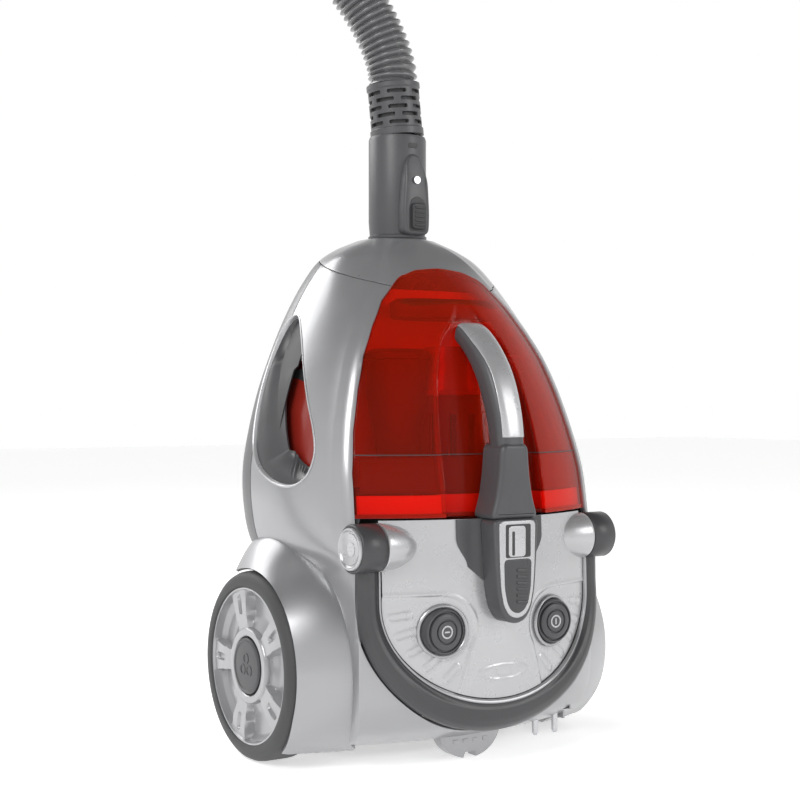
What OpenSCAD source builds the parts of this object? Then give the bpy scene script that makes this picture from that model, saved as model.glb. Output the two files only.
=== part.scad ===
// Canister vacuum cleaner standing on its rear end: long axis up, controls and dust
// container towards -Y, running side towards +Y, left wheel at -X.

/* [Body] */
// Thickness of the moulded shells
wall = 3; // [2.4:0.1:4]
// Gap between neighbouring shells
seam = 0.5; // [0.3:0.1:1]
// Y of the joint line between front and rear housing
seam_y = 54; // [50:1:60]

/* [Wheels] */
// Outer diameter of the big wheels
wheel_d = 140; // [130:1:144]
// Width of a big wheel
wheel_w = 30; // [24:1:31]
// Distance between the outer faces of the wheels
track = 290; // [286:1:300]
// Diameter of a wheel rim
rim_d = 116; // [108:1:118]
// Diameter of the hub cap
hubcap_d = 41; // [36:1:44]
// Diameter of a wheel axle
axle_d = 10; // [8:1:14]

/* [Dust container] */
// Lowest height of the container
bin_z0 = 183; // [180:1:188]
// Highest height of the container
bin_z1 = 367; // [360:1:370]
// Wall of the container
bin_wall = 2.4; // [2:0.1:3]

/* [Controls] */
// Diameter of the two foot buttons
button_d = 33; // [28:0.5:35]
// Distance between the two buttons
button_pitch = 98; // [94:1:102]
// Height of the buttons
button_z = 103; // [98:1:108]
// Height of the carrying handle's pivots
pivot_z = 163; // [160:1:166]
// Y of the carrying handle's pivots
pivot_y = -63.5; // [-66:0.5:-61]
// Diameter of the carrying handle's eyes
eye_d = 35; // [32:0.5:37]

/* [Hose] */
// Outside diameter of the corrugated hose
hose_d = 40; // [36:1:42]
// Y of the hose inlet's axis
inlet_y = 53; // [51:1:55]
// Bore of the hose inlet
inlet_bore = 38; // [34:0.5:40]
// Diameter of the connector
connector_d = 46; // [44:1:50]

/* [Hidden] */
$fn = 64;
wheel_r = wheel_d / 2;
wheel_y = 106 - wheel_r;
wheel_z = wheel_r;
body_top = 394;
bail_gap = 1.8;
bail_depth = 13;
// How far back the carrying handle and its trench reach
bail_back = -42;
// Middle of the half-round foot and of the plug in its clip
foot_y = -42;
plug_x = 68.5;
plug_y = -50;
// Caster's swivel axis height, its wheel's axis and the size of its cup
caster_z = 318;
caster_y = 93;
caster_trail = -6;
cup_d = 50;
// Middle lines of the motor and the cord reel
motor_x = -46;
motor_y = 14;
reel_y = 24;
reel_z = 86;
// Lean of the hose collar and the way it leans, and the way the hand grip points
collar_tilt = 5;
collar_turn = 26;
grip_angle = -108.9;
// Route of the hose: up from the collar, over to the left rear and down to the floor
HOSE = [
    [-3.2, 54.6, 519.6], [-4.3, 55.1, 533], [-10, 58, 553], [-22, 64, 579], [-43, 74, 610], [-71, 87, 638], [-106, 103, 661],
    [-146, 120, 675], [-188, 138, 678], [-228, 155, 669], [-264, 171, 650], [-294, 184, 621],
    [-316, 194, 583], [-329, 200, 538], [-336, 204, 488], [-339, 206, 435], [-340, 207, 380],
    [-340, 207, 325], [-340, 207, 270], [-340, 205, 215], [-341, 199, 165], [-344, 184, 119],
    [-350, 158, 78], [-360, 122, 46], [-374, 78, 26], [-390, 30, 21], [-409, -28, 21], [-428, -90, 21],
    [-448, -158, 21]
];

// One row per height: z, front centre y, front corner x and y, widest x, rear y
ROWS = [
    [10, -8, 76, 6, 92, 76],
    [16, -42, 92, -24, 104, 87],
    [27, -69, 99, -47, 108, 93],
    [40, -82, 103, -56, 109, 95],
    [55, -88, 105, -60, 110, 95],
    [100, -89, 106, -61, 110, 95],
    [142, -88, 107, -60, 111, 95],
    [160, -87, 108, -57, 124, 95],
    [185, -86, 109, -52, 130, 95],
    [215, -82, 108, -47, 131, 95],
    [245, -75, 103, -40, 126, 94],
    [275, -67, 95, -33, 118, 93],
    [300, -58, 86, -26, 109, 91],
    [322, -47, 74, -19, 100, 89],
    [342, -34, 60, -12, 90, 87],
    [360, -15, 44, -5, 79, 85],
    [376, 6, 34, 8, 66, 83],
    [386, 18, 26, 20, 50, 82],
    [body_top, 26, 16, 32, 30, 80]
];
WIDE_Y = 48;
LAST = len(ROWS) - 1;

function half_ring(r, g) =
    let (f = r[1] + g, wf = r[2] - g, yf = max(r[3], f + 0.5), w = r[4] - g, b = r[5] - g)
    concat(
        [for (k = [0:5]) [wf * k / 5, yf + (f - yf) * (1 - pow(k / 5, 2))]],
        [for (k = [1:4]) let (t = k / 4)
            [wf + (w - wf) * sin(90 * pow(t, 0.7)), yf + (WIDE_Y - yf) * (0.06 + 0.94 * t)]],
        [for (k = [1:5]) let (a = 18 * k)
            [w * pow(max(cos(a), 0), 0.5), WIDE_Y + (b - WIDE_Y) * pow(sin(a), 0.5)]]
    );

function ring(r, g, z) =
    let (h = half_ring(r, g), n = len(h))
    concat([for (p = h) [p[0], p[1], z]], [for (k = [n - 2:-1:1]) [-h[k][0], h[k][1], z]]);

// The row at any height, between the two nearest ones
function row_at(z) =
    let (i = max([for (k = [0:LAST - 1]) if (ROWS[k][0] <= max(z, ROWS[0][0])) k]),
         t = min(max((z - ROWS[i][0]) / (ROWS[i + 1][0] - ROWS[i][0]), 0), 1))
    ROWS[i] * (1 - t) + ROWS[i + 1] * t;

function form_heights(g) =
    let (z0 = ROWS[0][0] + g, z1 = body_top - g)
    concat([z0], [for (r = ROWS) if (r[0] > z0 + 2 && r[0] < z1 - 2) r[0]], [z1]);

// Skins a list of rings with the same number of points, closed at both ends
module skin(rings) {
    n = len(rings[0]);
    last = len(rings) - 1;
    polyhedron(
        points = [for (q = rings) each q],
        faces = concat(
            [[for (k = [0:n - 1]) k]],
            [[for (k = [n - 1:-1:0]) last * n + k]],
            [for (i = [0:last - 1], k = [0:n - 1]) let (m = (k + 1) % n)
                each [[i * n + k, (i + 1) * n + k, (i + 1) * n + m],
                      [i * n + k, (i + 1) * n + m, i * n + m]]]
        ),
        convexity = 6
    );
}

// The body's outer form, inset by g
module body_form(g = 0) {
    skin([for (z = form_heights(g)) ring(row_at(z), g, z)]);
}

// Axis helpers
module along_x() { rotate([90, 0, 90]) children(); }
module facing_front(y0, y1) {
    translate([0, y1, 0]) rotate([90, 0, 0]) linear_extrude(y1 - y0) children();
}
module both_sides() {
    children();
    mirror([1, 0, 0]) children();
}

// Front outline of the control panel, grown by g
module panel_outline(g = 0) {
    intersection() {
        union() {
            translate([0, 122]) scale([(91 + g) / 100, (70 + g) / 100]) circle(100);
            translate([-91 - g, 122]) square([182 + 2 * g, 60 - g]);
        }
        translate([-120, 0]) square([240, bin_z0 - 1]);
    }
}

// Front outline of the carrying handle's outside, grown by g
module bail_outline(g = 0) {
    translate([0, 122]) scale([(108.5 + g) / 100, (97 + g) / 100]) circle(100);
    translate([-108.5 - g, 122]) square([217 + 2 * g, 60]);
}

module bail_band(g = 0, top = pivot_z) {
    difference() {
        bail_outline(g);
        panel_outline(-g);
        translate([-200, top]) square(400);
    }
}

// Outline of a side window in Y and Z, grown by g
module window_outline(g = 0) {
    offset(r = g) offset(r = 9) polygon([
        [-8, 235], [2, 216], [20, 213], [48, 236], [52, 262], [50, 290], [40, 316], [28, 316],
        [12, 290], [0, 262]
    ]);
}

// Half section of the dust container at height z, inset by g, with the handle's channel dip deep
function bin_half(z, g, dip) =
    let (r = row_at(z), wf = r[2] - 4.5 - g, yf = r[3] - 0.5, f = r[1] - 1 + g,
         c = lookup(z, [[bin_z0, 45], [237, 44], [283, 38], [314, 27], [331, 13], [345, 8]]),
         d = dip * lookup(z, [[bin_z0, 10], [300, 9], [322, 5], [336, 0]]),
         front = function(x) yf + (f - yf) * (1 - pow(x / wf, 2)))
    concat(
        [for (x = [0, c * 0.55, c * 0.85]) [x, front(x) + d]],
        [for (t = [0, 0.3, 0.65, 1]) let (x = c + (wf - c) * t) [x, front(x)]],
        [[wf - 2, 4 - g], [wf - 6, 11 - g], [wf * 0.5, 12 - g], [0, 12 - g]]
    );

function mirrored(h, z) = let (n = len(h))
    concat([for (p = h) [p[0], p[1], z]], [for (k = [n - 2:-1:1]) [-h[k][0], h[k][1], z]]);

BIN_HEIGHTS = [bin_z0, 215, 245, 275, 300, 322, 342, 358, bin_z1];

module bin_form(g = 0) {
    zs = [for (z = BIN_HEIGHTS) z == bin_z0 ? z + g : z == bin_z1 ? z - g : z];
    skin([for (z = zs) mirrored(bin_half(z, g, 1), z)]);
}

// The space the container slides out of: its form with the front drawn far forward
module bay_form(g = 1.2) {
    zs = [for (z = BIN_HEIGHTS) z == bin_z0 ? z - g : z == bin_z1 ? z + g : z];
    skin([for (z = zs) let (r = row_at(z), w = r[2] - 4.5 + g)
        mirrored([[0, -140], [w, -140], [w, 4], [w - 4, 12 + g], [0, 12 + g]], z)]);
}

module slab(z0, z1) { translate([-160, -160, z0]) cube([320, 320, z1 - z0]); }
module behind(y) { translate([-200, y, -10]) cube([400, 300, 500]); }
module ahead(y) { translate([-200, y - 300, -10]) cube([400, 300, 500]); }

// Everything above the nose's tilted joint line, raised by g
module above_nose(g = 0) {
    translate([0, inlet_y, 372.5 + g]) rotate([17, 0, 0]) translate([-200, -200, 0]) cube(400);
}

module shell_skin() {
    difference() {
        body_form(0);
        body_form(wall);
    }
}

module wheel_holes(d) {
    both_sides() translate([95, wheel_y, wheel_z]) along_x() cylinder(d = d, h = 30);
}

module windows(g = 0) {
    both_sides() translate([60, 0, 0]) along_x() linear_extrude(100) window_outline(g);
}

module front_housing() {
    color([0.74, 0.74, 0.75]) difference() {
        union() {
            shell_skin();
            intersection() {
                body_form(wall - 1);
                slab(bin_z0 - 4.5, bin_z0 - 1.5);
            }
            intersection() {
                difference() {
                    body_form(bail_depth + bail_gap);
                    body_form(bail_depth + bail_gap + wall);
                }
                facing_front(-120, bail_back + 4) bail_outline(4);
                slab(0, bin_z0 - 2);
            }
            intersection() {
                body_form(1);
                facing_front(-120, bail_back + 4) difference() {
                    bail_outline(bail_gap + wall);
                    bail_outline(bail_gap);
                }
                slab(0, pivot_z);
            }
        }
        behind(seam_y - seam / 2);
        above_nose(-seam);
        bay_form();
        windows();
        facing_front(-140, -24) panel_outline(bail_gap);
        intersection() {
            facing_front(-140, bail_back + 1) bail_band(bail_gap, bin_z0 - 5);
            difference() {
                body_form(-20);
                body_form(bail_depth + bail_gap);
            }
        }
        both_sides() translate([60, pivot_y, pivot_z]) along_x()
            cylinder(d = eye_d + 2 * bail_gap, h = 80);
        wheel_holes(20.2);
        translate([0, -20, bin_z0 - 10]) cylinder(d = 70, h = 20);
        translate([0, foot_y, 0]) cube([60, 12, 60], center = true);
        translate([plug_x - 20, -61, 0]) cube([40, 36, 64]);
    }
}

module rear_housing() {
    color([0.42, 0.42, 0.43]) difference() {
        shell_skin();
        ahead(seam_y + seam / 2);
        above_nose(-seam);
        wheel_holes(20.2);
        windows();
        facing_back(0, caster_z) translate([0, 0, 60]) cylinder(d = cup_d + 0.6, h = 60);
        for (k = [-3:3]) translate([-45, 80, 250 + 9 * k]) cube([90, 30, 4.5]);
    }
}

module nose_cover() {
    color([0.76, 0.76, 0.77]) difference() {
        intersection() {
            shell_skin();
            above_nose(0);
        }
        bay_form();
        translate([0, inlet_y, body_top - 20]) cylinder(d = connector_d + 3, h = 40);
    }
}

module control_panel() {
    color([0.86, 0.86, 0.87]) difference() {
        union() {
            intersection() {
                shell_skin();
                facing_front(-120, -40) panel_outline(0);
                slab(0, bin_z0 - 5.2);
            }
            both_sides() translate([55, pivot_y, pivot_z]) along_x()
                cylinder(r1 = 9, r2 = eye_d / 2, h = 35.6);
        }
        translate([-96, 0, pivot_z]) along_x() cylinder(d = axle_d, h = 192);
        both_sides() translate([button_pitch / 2, -60, button_z]) rotate([90, 0, 0])
            cylinder(d = button_d + 4.4, h = 50);
        translate([-52, pivot_y + 4, pivot_z - 20]) cube([104, 30, 40]);
    }
}

// A pair of things at the two buttons
module at_buttons() {
    for (s = [-1, 1]) translate([s * button_pitch / 2, 0, button_z]) rotate([90, 0, 0]) children();
}

module button_bezels() {
    color([0.9, 0.9, 0.91]) at_buttons() translate([0, 0, 72]) difference() {
        cylinder(d = button_d + 4, h = 13);
        translate([0, 0, -1]) cylinder(d = button_d + 0.8, h = 20);
    }
}

module button_at(x) {
    color([0.36, 0.36, 0.37]) translate([x, 0, button_z]) rotate([90, 0, 0]) {
        translate([0, 0, 70]) cylinder(d = button_d, h = 16);
        translate([0, 0, 86]) cylinder(d1 = 27, d2 = 25, h = 1.8);
        translate([0, 0, 58]) cylinder(d = 9, h = 12);
    }
}
module rewind_button() { button_at(-button_pitch / 2); }
module power_button() { button_at(button_pitch / 2); }

// Springs drawn at their pressed length
module button_springs() {
    color([0.75, 0.76, 0.78]) at_buttons() translate([0, 0, 54]) difference() {
        cylinder(d = 15, h = 11.5);
        translate([0, 0, -1]) cylinder(d = 11, h = 20);
    }
}

module wheel_arches() {
    color([0.78, 0.78, 0.79]) difference() {
        both_sides() intersection() {
            hull() {
                translate([112, -8, 14]) cube([20, 44, 3]);
                translate([112, -48, 84]) scale([1, 1, 1.4]) sphere(9, $fn = 24);
                translate([112, -30, 30]) sphere(12, $fn = 24);
                translate([128, -20, 60]) sphere(12, $fn = 24);
                translate([128, -14, 104]) sphere(12, $fn = 24);
                translate([112, 10, 140]) cube([20, 42, 24]);
            }
            translate([111.8, -100, 5]) cube([30.2, 153, 160]);
        }
        both_sides() translate([100, wheel_y, wheel_z]) along_x() cylinder(r = wheel_r + 2, h = 60);
        body_form(-0.4);
    }
}

module window_liners() {
    color([0.27, 0.27, 0.28]) difference() {
        intersection() {
            body_form(0.4);
            windows(-0.4);
        }
        body_form(wall);
        translate([-160, -36, 190]) cube([320, 58, 150]);
    }
}

module parking_foot() {
    color([0.72, 0.72, 0.73]) difference() {
        union() {
            translate([0, foot_y + 5.5, 24]) rotate([90, 0, 0]) intersection() {
                scale([1, 0.86]) cylinder(r = 28, h = 11);
                translate([-30, -30, -1]) cube([60, 36, 13]);
            }
            translate([-26, foot_y - 5.5, 24]) cube([52, 11, 12]);
        }
        translate([-4, foot_y - 10, -2]) cube([8, 20, 6]);
        slab(-20, 0);
    }
}

module rear_feet() {
    color([0.2, 0.2, 0.2]) both_sides() translate([70, 60, 0]) cylinder(d = 18, h = 9.6);
}

// A wheel's parts, drawn along X with the outer face at track / 2
module at_wheel(side) {
    mirror([side < 0 ? 1 : 0, 0, 0]) translate([0, wheel_y, wheel_z]) along_x() children();
}

module tyre(side) {
    x1 = track / 2;
    x0 = x1 - wheel_w;
    r = wheel_r;
    ri = rim_d / 2;
    color([0.3, 0.3, 0.3]) at_wheel(side) rotate_extrude() polygon([
        [ri, x0], [r - 4, x0], [r - 1.2, x0 + 1.2], [r, x0 + 4], [r, x1 - 6], [r - 1.6, x1 - 2],
        [r - 5, x1 - 0.4], [ri + 1.5, x1], [ri, x1 - 1]
    ]);
}
module tyre_left() { tyre(-1); }
module tyre_right() { tyre(1); }

module rim(side) {
    x1 = track / 2;
    ri = rim_d / 2;
    color([0.8, 0.8, 0.81]) at_wheel(side) difference() {
        union() {
            rotate_extrude() polygon([
                [axle_d / 2 + 0.05, x1 - 26], [11, x1 - 26], [11, x1 - 12], [ri - 0.1, x1 - 12],
                [ri - 0.1, x1 - 1.2], [ri - 2, x1 - 0.6], [ri - 2.6, x1 - 3], [40, x1 - 8.4], [30, x1 - 6],
                [28, x1 - 1.6], [22, x1 - 1], [22, x1 - 3], [axle_d / 2 + 0.05, x1 - 3]
            ]);
            for (k = [0:4]) rotate(12 + 72 * k) translate([26, -7, x1 - 12]) cube([30.5, 14, 10]);
        }
        for (k = [0:4]) rotate(12 + 72 * k) translate([42, -2.2, x1 - 8]) cube([11, 4.4, 9]);
    }
}
module rim_left() { rim(-1); }
module rim_right() { rim(1); }

module hub_cap(side) {
    x1 = track / 2;
    color([0.33, 0.33, 0.34]) at_wheel(side) rotate_extrude() polygon([
        [0, x1 - 2.8], [hubcap_d / 2, x1 - 2.8], [hubcap_d / 2, x1 - 0.9], [17, x1 - 0.2], [0, x1]
    ]);
}
module hub_cap_left() { hub_cap(-1); }
module hub_cap_right() { hub_cap(1); }

// Steel stub axles with an inner collar
module axles() {
    color([0.7, 0.7, 0.72]) for (s = [-1, 1]) at_wheel(s) {
        translate([0, 0, 96]) cylinder(d = axle_d, h = track / 2 - 3.4 - 96);
        translate([0, 0, 96]) cylinder(d = 18, h = 4);
    }
}

module wheel_bushes() {
    color([0.2, 0.2, 0.22]) for (s = [-1, 1]) at_wheel(s) difference() {
        union() {
            translate([0, 0, 100.4]) cylinder(d = 20, h = 13);
            translate([0, 0, 111.6]) cylinder(d = 26, h = 2);
        }
        translate([0, 0, 90]) cylinder(d = axle_d, h = 40);
    }
}

// Front caster on the running side
module facing_back(x, z) { translate([x, 0, z]) rotate([-90, 0, 0]) children(); }

module caster_cup() {
    color([0.25, 0.25, 0.26]) facing_back(0, caster_z) difference() {
        union() {
            translate([0, 0, 75]) cylinder(d = cup_d, h = 15.5);
            translate([0, 0, 62]) cylinder(d = 18, h = 14);
        }
        translate([0, 0, 77.5]) cylinder(d = 46, h = 20);
        translate([0, 0, 50]) cylinder(d = 8, h = 40);
    }
}

module caster_fork() {
    color([0.3, 0.3, 0.31]) difference() {
        union() {
            facing_back(0, caster_z) {
                translate([0, 0, 63]) cylinder(d = 7.9, h = 16);
                translate([0, 0, 78]) cylinder(d = 38, h = 2.5);
            }
            both_sides() hull() {
                translate([8, 79, caster_z - 8]) cube([3.5, 1, 20]);
                translate([8, caster_y, caster_z + caster_trail]) along_x() cylinder(d = 9, h = 3.5);
            }
        }
        translate([-20, caster_y, caster_z + caster_trail]) along_x() cylinder(d = 4, h = 40);
    }
}

module caster_pin() {
    color([0.75, 0.75, 0.77]) translate([-11.5, caster_y, caster_z + caster_trail]) along_x()
        cylinder(d = 4, h = 23);
}

module caster_wheel() {
    color([0.3, 0.3, 0.3]) translate([0, caster_y, caster_z + caster_trail]) along_x() rotate_extrude()
        polygon([[2.05, -7.5], [9.4, -7.5], [11.8, -4], [12.2, 0], [11.8, 4], [9.4, 7.5], [2.05, 7.5]]);
}

// Carrying handle: a U that hangs round the control panel and folds out to the front
module bail_handle() {
    color([0.34, 0.34, 0.35]) difference() {
        union() {
            intersection() {
                facing_front(-130, bail_back) bail_band(-0.2);
                difference() {
                    body_form(-5);
                    body_form(bail_depth);
                }
            }
            both_sides() translate([91.6, pivot_y, pivot_z]) along_x() cylinder(d = eye_d, h = 22.4);
        }
        translate([-130, pivot_y, pivot_z]) along_x() cylinder(d = axle_d + 0.1, h = 260);
    }
}

module bail_caps() {
    color([0.85, 0.85, 0.86]) both_sides() translate([114.2, pivot_y, pivot_z]) along_x()
        cylinder(d1 = 31, d2 = 29, h = 2);
}

module bail_pins() {
    color([0.7, 0.7, 0.72]) both_sides() translate([60, pivot_y, pivot_z]) along_x()
        cylinder(d = axle_d, h = 54);
}

// Clear container and what it holds
module dust_container() {
    color([0.8, 0.08, 0.03, 0.75]) difference() {
        bin_form(0);
        bin_form(bin_wall);
        slab(0, bin_z0 + 3.3);
        translate([0, 2, 349]) rotate([-90, 0, 0]) cylinder(d = 24, h = 20);
    }
}

module bin_base() {
    color([0.2, 0.05, 0.04]) difference() {
        intersection() {
            bin_form(0.2);
            slab(0, bin_z0 + 3);
        }
        translate([0, -20, 150]) cylinder(d = 52, h = 60);
    }
}

module mesh_filter() {
    color([0.25, 0.1, 0.1]) translate([0, -20, bin_z0 + 3.5]) difference() {
        cylinder(d = 58, h = 84);
        translate([0, 0, -1]) cylinder(d = 53, h = 82);
        for (k = [0:11]) rotate(30 * k) translate([24, -3, 14]) cube([10, 6, 56]);
    }
}

module cyclone_cone() {
    color([0.35, 0.06, 0.04]) translate([0, -20, bin_z0 + 88]) difference() {
        union() {
            cylinder(r1 = 28, r2 = 20, h = 36);
            cylinder(r = 29, h = 3);
        }
        translate([0, 0, -1]) cylinder(r1 = 26, r2 = 18, h = 38);
    }
}

module bin_seal() {
    color([0.12, 0.12, 0.12]) translate([0, -20, bin_z0 - 1.3]) difference() {
        cylinder(d = 62, h = 1.3);
        translate([0, 0, -1]) cylinder(d = 52, h = 4);
    }
}

module side_profile(half, points) {
    rotate([90, 0, 90]) translate([0, 0, -half]) linear_extrude(2 * half) polygon(points);
}

module container_handle() {
    color([0.4, 0.4, 0.41]) side_profile(12.5, [
        [-43, 330], [-58, 320], [-74, 306], [-88, 289], [-97, 268], [-101, 248], [-103, 226],
        [-103.5, 187], [-80, 187], [-82.5, 226], [-81, 244], [-77, 262], [-69, 280], [-58, 295], [-47, 306],
        [-55, 306], [-50, 316]
    ]);
}

module handle_inlay() {
    color([0.84, 0.84, 0.85]) side_profile(8.5, [
        [-59, 320.6], [-75.4, 307.4], [-89.6, 290], [-98.8, 268.6], [-102.8, 248.2], [-104.8, 226],
        [-103.3, 224], [-101.3, 248], [-97.3, 268.2], [-88.3, 289.3], [-74.2, 306.4], [-58.4, 320.4]
    ]);
}

module latch_outline(g = 0) {
    polygon([
        [-20 - g, 186], [-17 - g, 150], [-15 - g, 122 - g], [-8, 109 - g], [0, 106 - g], [8, 109 - g],
        [15 + g, 122 - g], [17 + g, 150], [20 + g, 186]
    ]);
}

module latch_housing() {
    color([0.3, 0.3, 0.31]) difference() {
        union() {
            facing_front(-104, -90.5) latch_outline();
            facing_front(-100, -90.5) polygon([
                [-41, 214], [-38, 190], [-19, 172], [19, 172], [38, 190], [41, 214]
            ]);
            facing_front(-92, -82) polygon([
                [-37, 212], [-36, 194], [-18, 188], [18, 188], [36, 194], [37, 212]
            ]);
        }
        facing_front(-110, -96) translate([-10.4, 104]) square([20.8, 50]);
        facing_front(-110, -98) translate([-6, 160]) square([12, 22]);
        facing_front(-110, -79) translate([-13, 186.6]) square([26, 40]);
    }
}

module latch_bezel() {
    color([0.8, 0.8, 0.82]) difference() {
        facing_front(-106, -104.1) intersection() {
            latch_outline(-1);
            translate([-20, 156]) square([40, 28]);
        }
        facing_front(-110, -100) translate([-6, 160]) square([12, 22]);
    }
    color([0.85, 0.85, 0.86]) facing_front(-104, -98.2) translate([-4.5, 161]) square([9, 20]);
}

module latch_button() {
    color([0.24, 0.24, 0.25]) {
        facing_front(-105, -99) polygon([
            [-10, 151], [-10, 122], [-6, 114], [0, 112], [6, 114], [10, 122], [10, 151]
        ]);
        for (k = [0:5]) translate([-8, -106, 118 + 4.5 * k]) cube([16, 2, 2]);
    }
}

// Filters behind the container
module filter_housing() {
    color([0.3, 0.3, 0.32]) difference() {
        intersection() {
            body_form(7);
            translate([-100, 15, bin_z0 + 3]) cube([200, 56, 104.5]);
        }
        intersection() {
            body_form(9.5);
            translate([-97, 17.5, bin_z0 + 5.5]) cube([194, 51, 99.5]);
        }
        translate([0, 60, 230]) rotate([-90, 0, 0]) cylinder(d = 50, h = 20);
    }
}

module hepa_filter() {
    color([0.92, 0.92, 0.9]) difference() {
        translate([-66, 24, 196]) cube([132, 34, 90]);
        for (k = [0:15]) translate([-63 + 8 * k, 20, 200]) cube([4, 28, 82]);
    }
}

module motor_filter() {
    color([0.75, 0.76, 0.78]) translate([0, -20, bin_z0 - 11.5]) cylinder(d = 66, h = 6);
}

// Motor standing on the left, its fan uppermost
module at_motor(z) { translate([motor_x, motor_y, z]) children(); }

module motor_case() {
    color([0.55, 0.56, 0.58]) at_motor(32) difference() {
        cylinder(d = 92, h = 108);
        translate([0, 0, 3]) cylinder(d = 87, h = 102);
        translate([0, 0, -1]) cylinder(d = 18, h = 10);
        translate([0, 0, 100]) cylinder(d = 40, h = 20);
        for (k = [0:7]) rotate(45 * k) translate([36, -6, 12]) cube([20, 12, 20]);
    }
}

module stator() {
    color([0.5, 0.3, 0.2]) at_motor(52) difference() {
        cylinder(d = 86, h = 46);
        translate([0, 0, -1]) cylinder(d = 52, h = 50);
    }
}

module motor_bearings() {
    color([0.7, 0.7, 0.72]) at_motor(0) {
        translate([0, 0, 35.2]) difference() {
            cylinder(d = 24, h = 8);
            translate([0, 0, -1]) cylinder(d = 8.04, h = 12);
        }
        translate([0, 0, 101]) difference() {
            cylinder(d = 86, h = 3);
            translate([0, 0, -1]) cylinder(d = 8.04, h = 12);
            for (k = [0:5]) rotate(60 * k) translate([18, -6, -1]) cube([16, 12, 6]);
        }
    }
}

module rotor() {
    color([0.6, 0.45, 0.3]) at_motor(0) {
        translate([0, 0, 35]) cylinder(d = 8, h = 92);
        translate([0, 0, 54]) cylinder(d = 48, h = 42);
        translate([0, 0, 108]) cylinder(d = 78, h = 1.5);
        translate([0, 0, 122]) difference() {
            cylinder(d = 78, h = 1.5);
            translate([0, 0, -1]) cylinder(d = 34, h = 4);
        }
        for (k = [0:6]) rotate(360 / 7 * k) translate([12, -1, 109]) cube([26, 2, 13.4]);
    }
}

// Cord reel on the right, its cord and plug
module at_reel(x) { translate([x, reel_y, reel_z]) along_x() children(); }

module cord_reel() {
    color([0.85, 0.85, 0.83]) difference() {
        union() {
            at_reel(50) cylinder(d = 112, h = 2);
            at_reel(52) cylinder(d = 46, h = 38);
            at_reel(90) cylinder(d = 112, h = 2);
        }
        at_reel(40) cylinder(d = 8.1, h = 70);
        at_reel(55) cylinder(d = 38, h = 50);
    }
}

module wound_cord() {
    color([0.15, 0.15, 0.15]) at_reel(52.3) difference() {
        cylinder(d = 96, h = 37.4);
        translate([0, 0, -1]) cylinder(d = 46.4, h = 42);
    }
}

module reel_pin() {
    color([0.7, 0.7, 0.72]) {
        at_reel(44) cylinder(d = 8, h = 50);
        at_reel(40) cylinder(d = 32, h = 4);
        translate([40, reel_y - 16, 14]) cube([4, 32, reel_z - 14]);
    }
}

module mains_plug() {
    color([0.2, 0.2, 0.21]) {
        translate([plug_x - 17.5, plug_y - 7.5, 29]) cube([35, 15, 16]);
        translate([plug_x, plug_y, 44]) cylinder(d1 = 15, d2 = 9, h = 18);
    }
}

module plug_pins() {
    color([0.8, 0.8, 0.82]) for (s = [-1, 1]) translate([plug_x + 9.5 * s, plug_y, 10]) {
        translate([0, 0, 2.4]) cylinder(d = 4.8, h = 16.6);
        translate([0, 0, 0.6]) cylinder(d1 = 3, d2 = 4.8, h = 1.8);
    }
}

module cord_outlet() {
    color([0.78, 0.78, 0.79]) difference() {
        translate([plug_x - 19.6, -58, 20]) cube([39.2, 28, 26]);
        translate([plug_x - 18, plug_y - 8, 0]) cube([36, 16, 80]);
        translate([plug_x - 25, -70, 0]) cube([60, 20, 28.6]);
    }
}

module cord_lead() {
    color([0.15, 0.15, 0.15]) sweep([
        [plug_x, plug_y, 62.3], [plug_x, plug_y + 1, 68], [plug_x, -44, 76],
        [plug_x, -35, 84], [plug_x, -28.5, 92]
    ], 3.2, 8);
}

module power_switch() {
    color([0.15, 0.15, 0.16]) {
        translate([button_pitch / 2 - 9, -48, button_z - 10]) cube([18, 14, 20]);
        translate([button_pitch / 2, -48, button_z]) rotate([90, 0, 0]) cylinder(d = 5, h = 5.5);
    }
}

// Hose inlet, connector and hose
module inlet_elbow() {
    color([0.3, 0.3, 0.31]) difference() {
        union() {
            translate([0, inlet_y, 335]) cylinder(d = 44, h = 59.5);
            translate([0, 15.5, 349]) rotate([-90, 0, 0]) cylinder(d = 28, h = 34);
        }
        translate([0, inlet_y, 338]) cylinder(d = inlet_bore, h = 70);
        translate([0, 10, 349]) rotate([-90, 0, 0]) cylinder(d = 22, h = 40);
    }
}

module hose_connector() {
    color([0.33, 0.33, 0.34]) translate([0, inlet_y, 0]) difference() {
        union() {
            translate([0, 0, 368]) cylinder(d = inlet_bore - 0.4, h = 27);
            translate([0, 0, 395]) cylinder(d = connector_d + 1, h = 3);
            translate([0, 0, 398]) cylinder(d1 = connector_d - 2, d2 = connector_d, h = 10);
            translate([0, 0, 408]) cylinder(d = connector_d, h = 67.2);
            hull() {
                translate([0, -22, 440]) rotate([90, 0, 0]) cylinder(d = 14, h = 4, $fn = 32);
                translate([0, -20, 407]) rotate([90, 0, 0]) cylinder(d = 21, h = 10, $fn = 32);
            }
        }
        translate([0, 0, 360]) cylinder(d = 32, h = 130);
        translate([-7, -40, 400.5]) cube([14, 14, 22]);
    }
}

module connector_latch() {
    color([0.2, 0.2, 0.21]) translate([0, inlet_y, 0]) {
        translate([-6.5, -33.5, 401]) cube([13, 4.2, 20]);
        for (k = [0:4]) translate([-5.5, -34.3, 403 + 4 * k]) cube([11, 1, 2]);
    }
}

// Slotted collar that lets the hose bend
module hose_collar() {
    color([0.28, 0.28, 0.29]) translate([0, inlet_y, 479.2])
    rotate([0, -collar_tilt, -collar_turn]) difference() {
        union() {
            cylinder(d = 43, h = 8);
            cylinder(d = 40, h = 40);
            for (k = [1:3]) translate([0, 0, 8 + 10.6 * (k - 1) + 4]) cylinder(d = 43, h = 6);
        }
        translate([0, 0, -1]) cylinder(d = 34, h = 60);
    }
}

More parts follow.
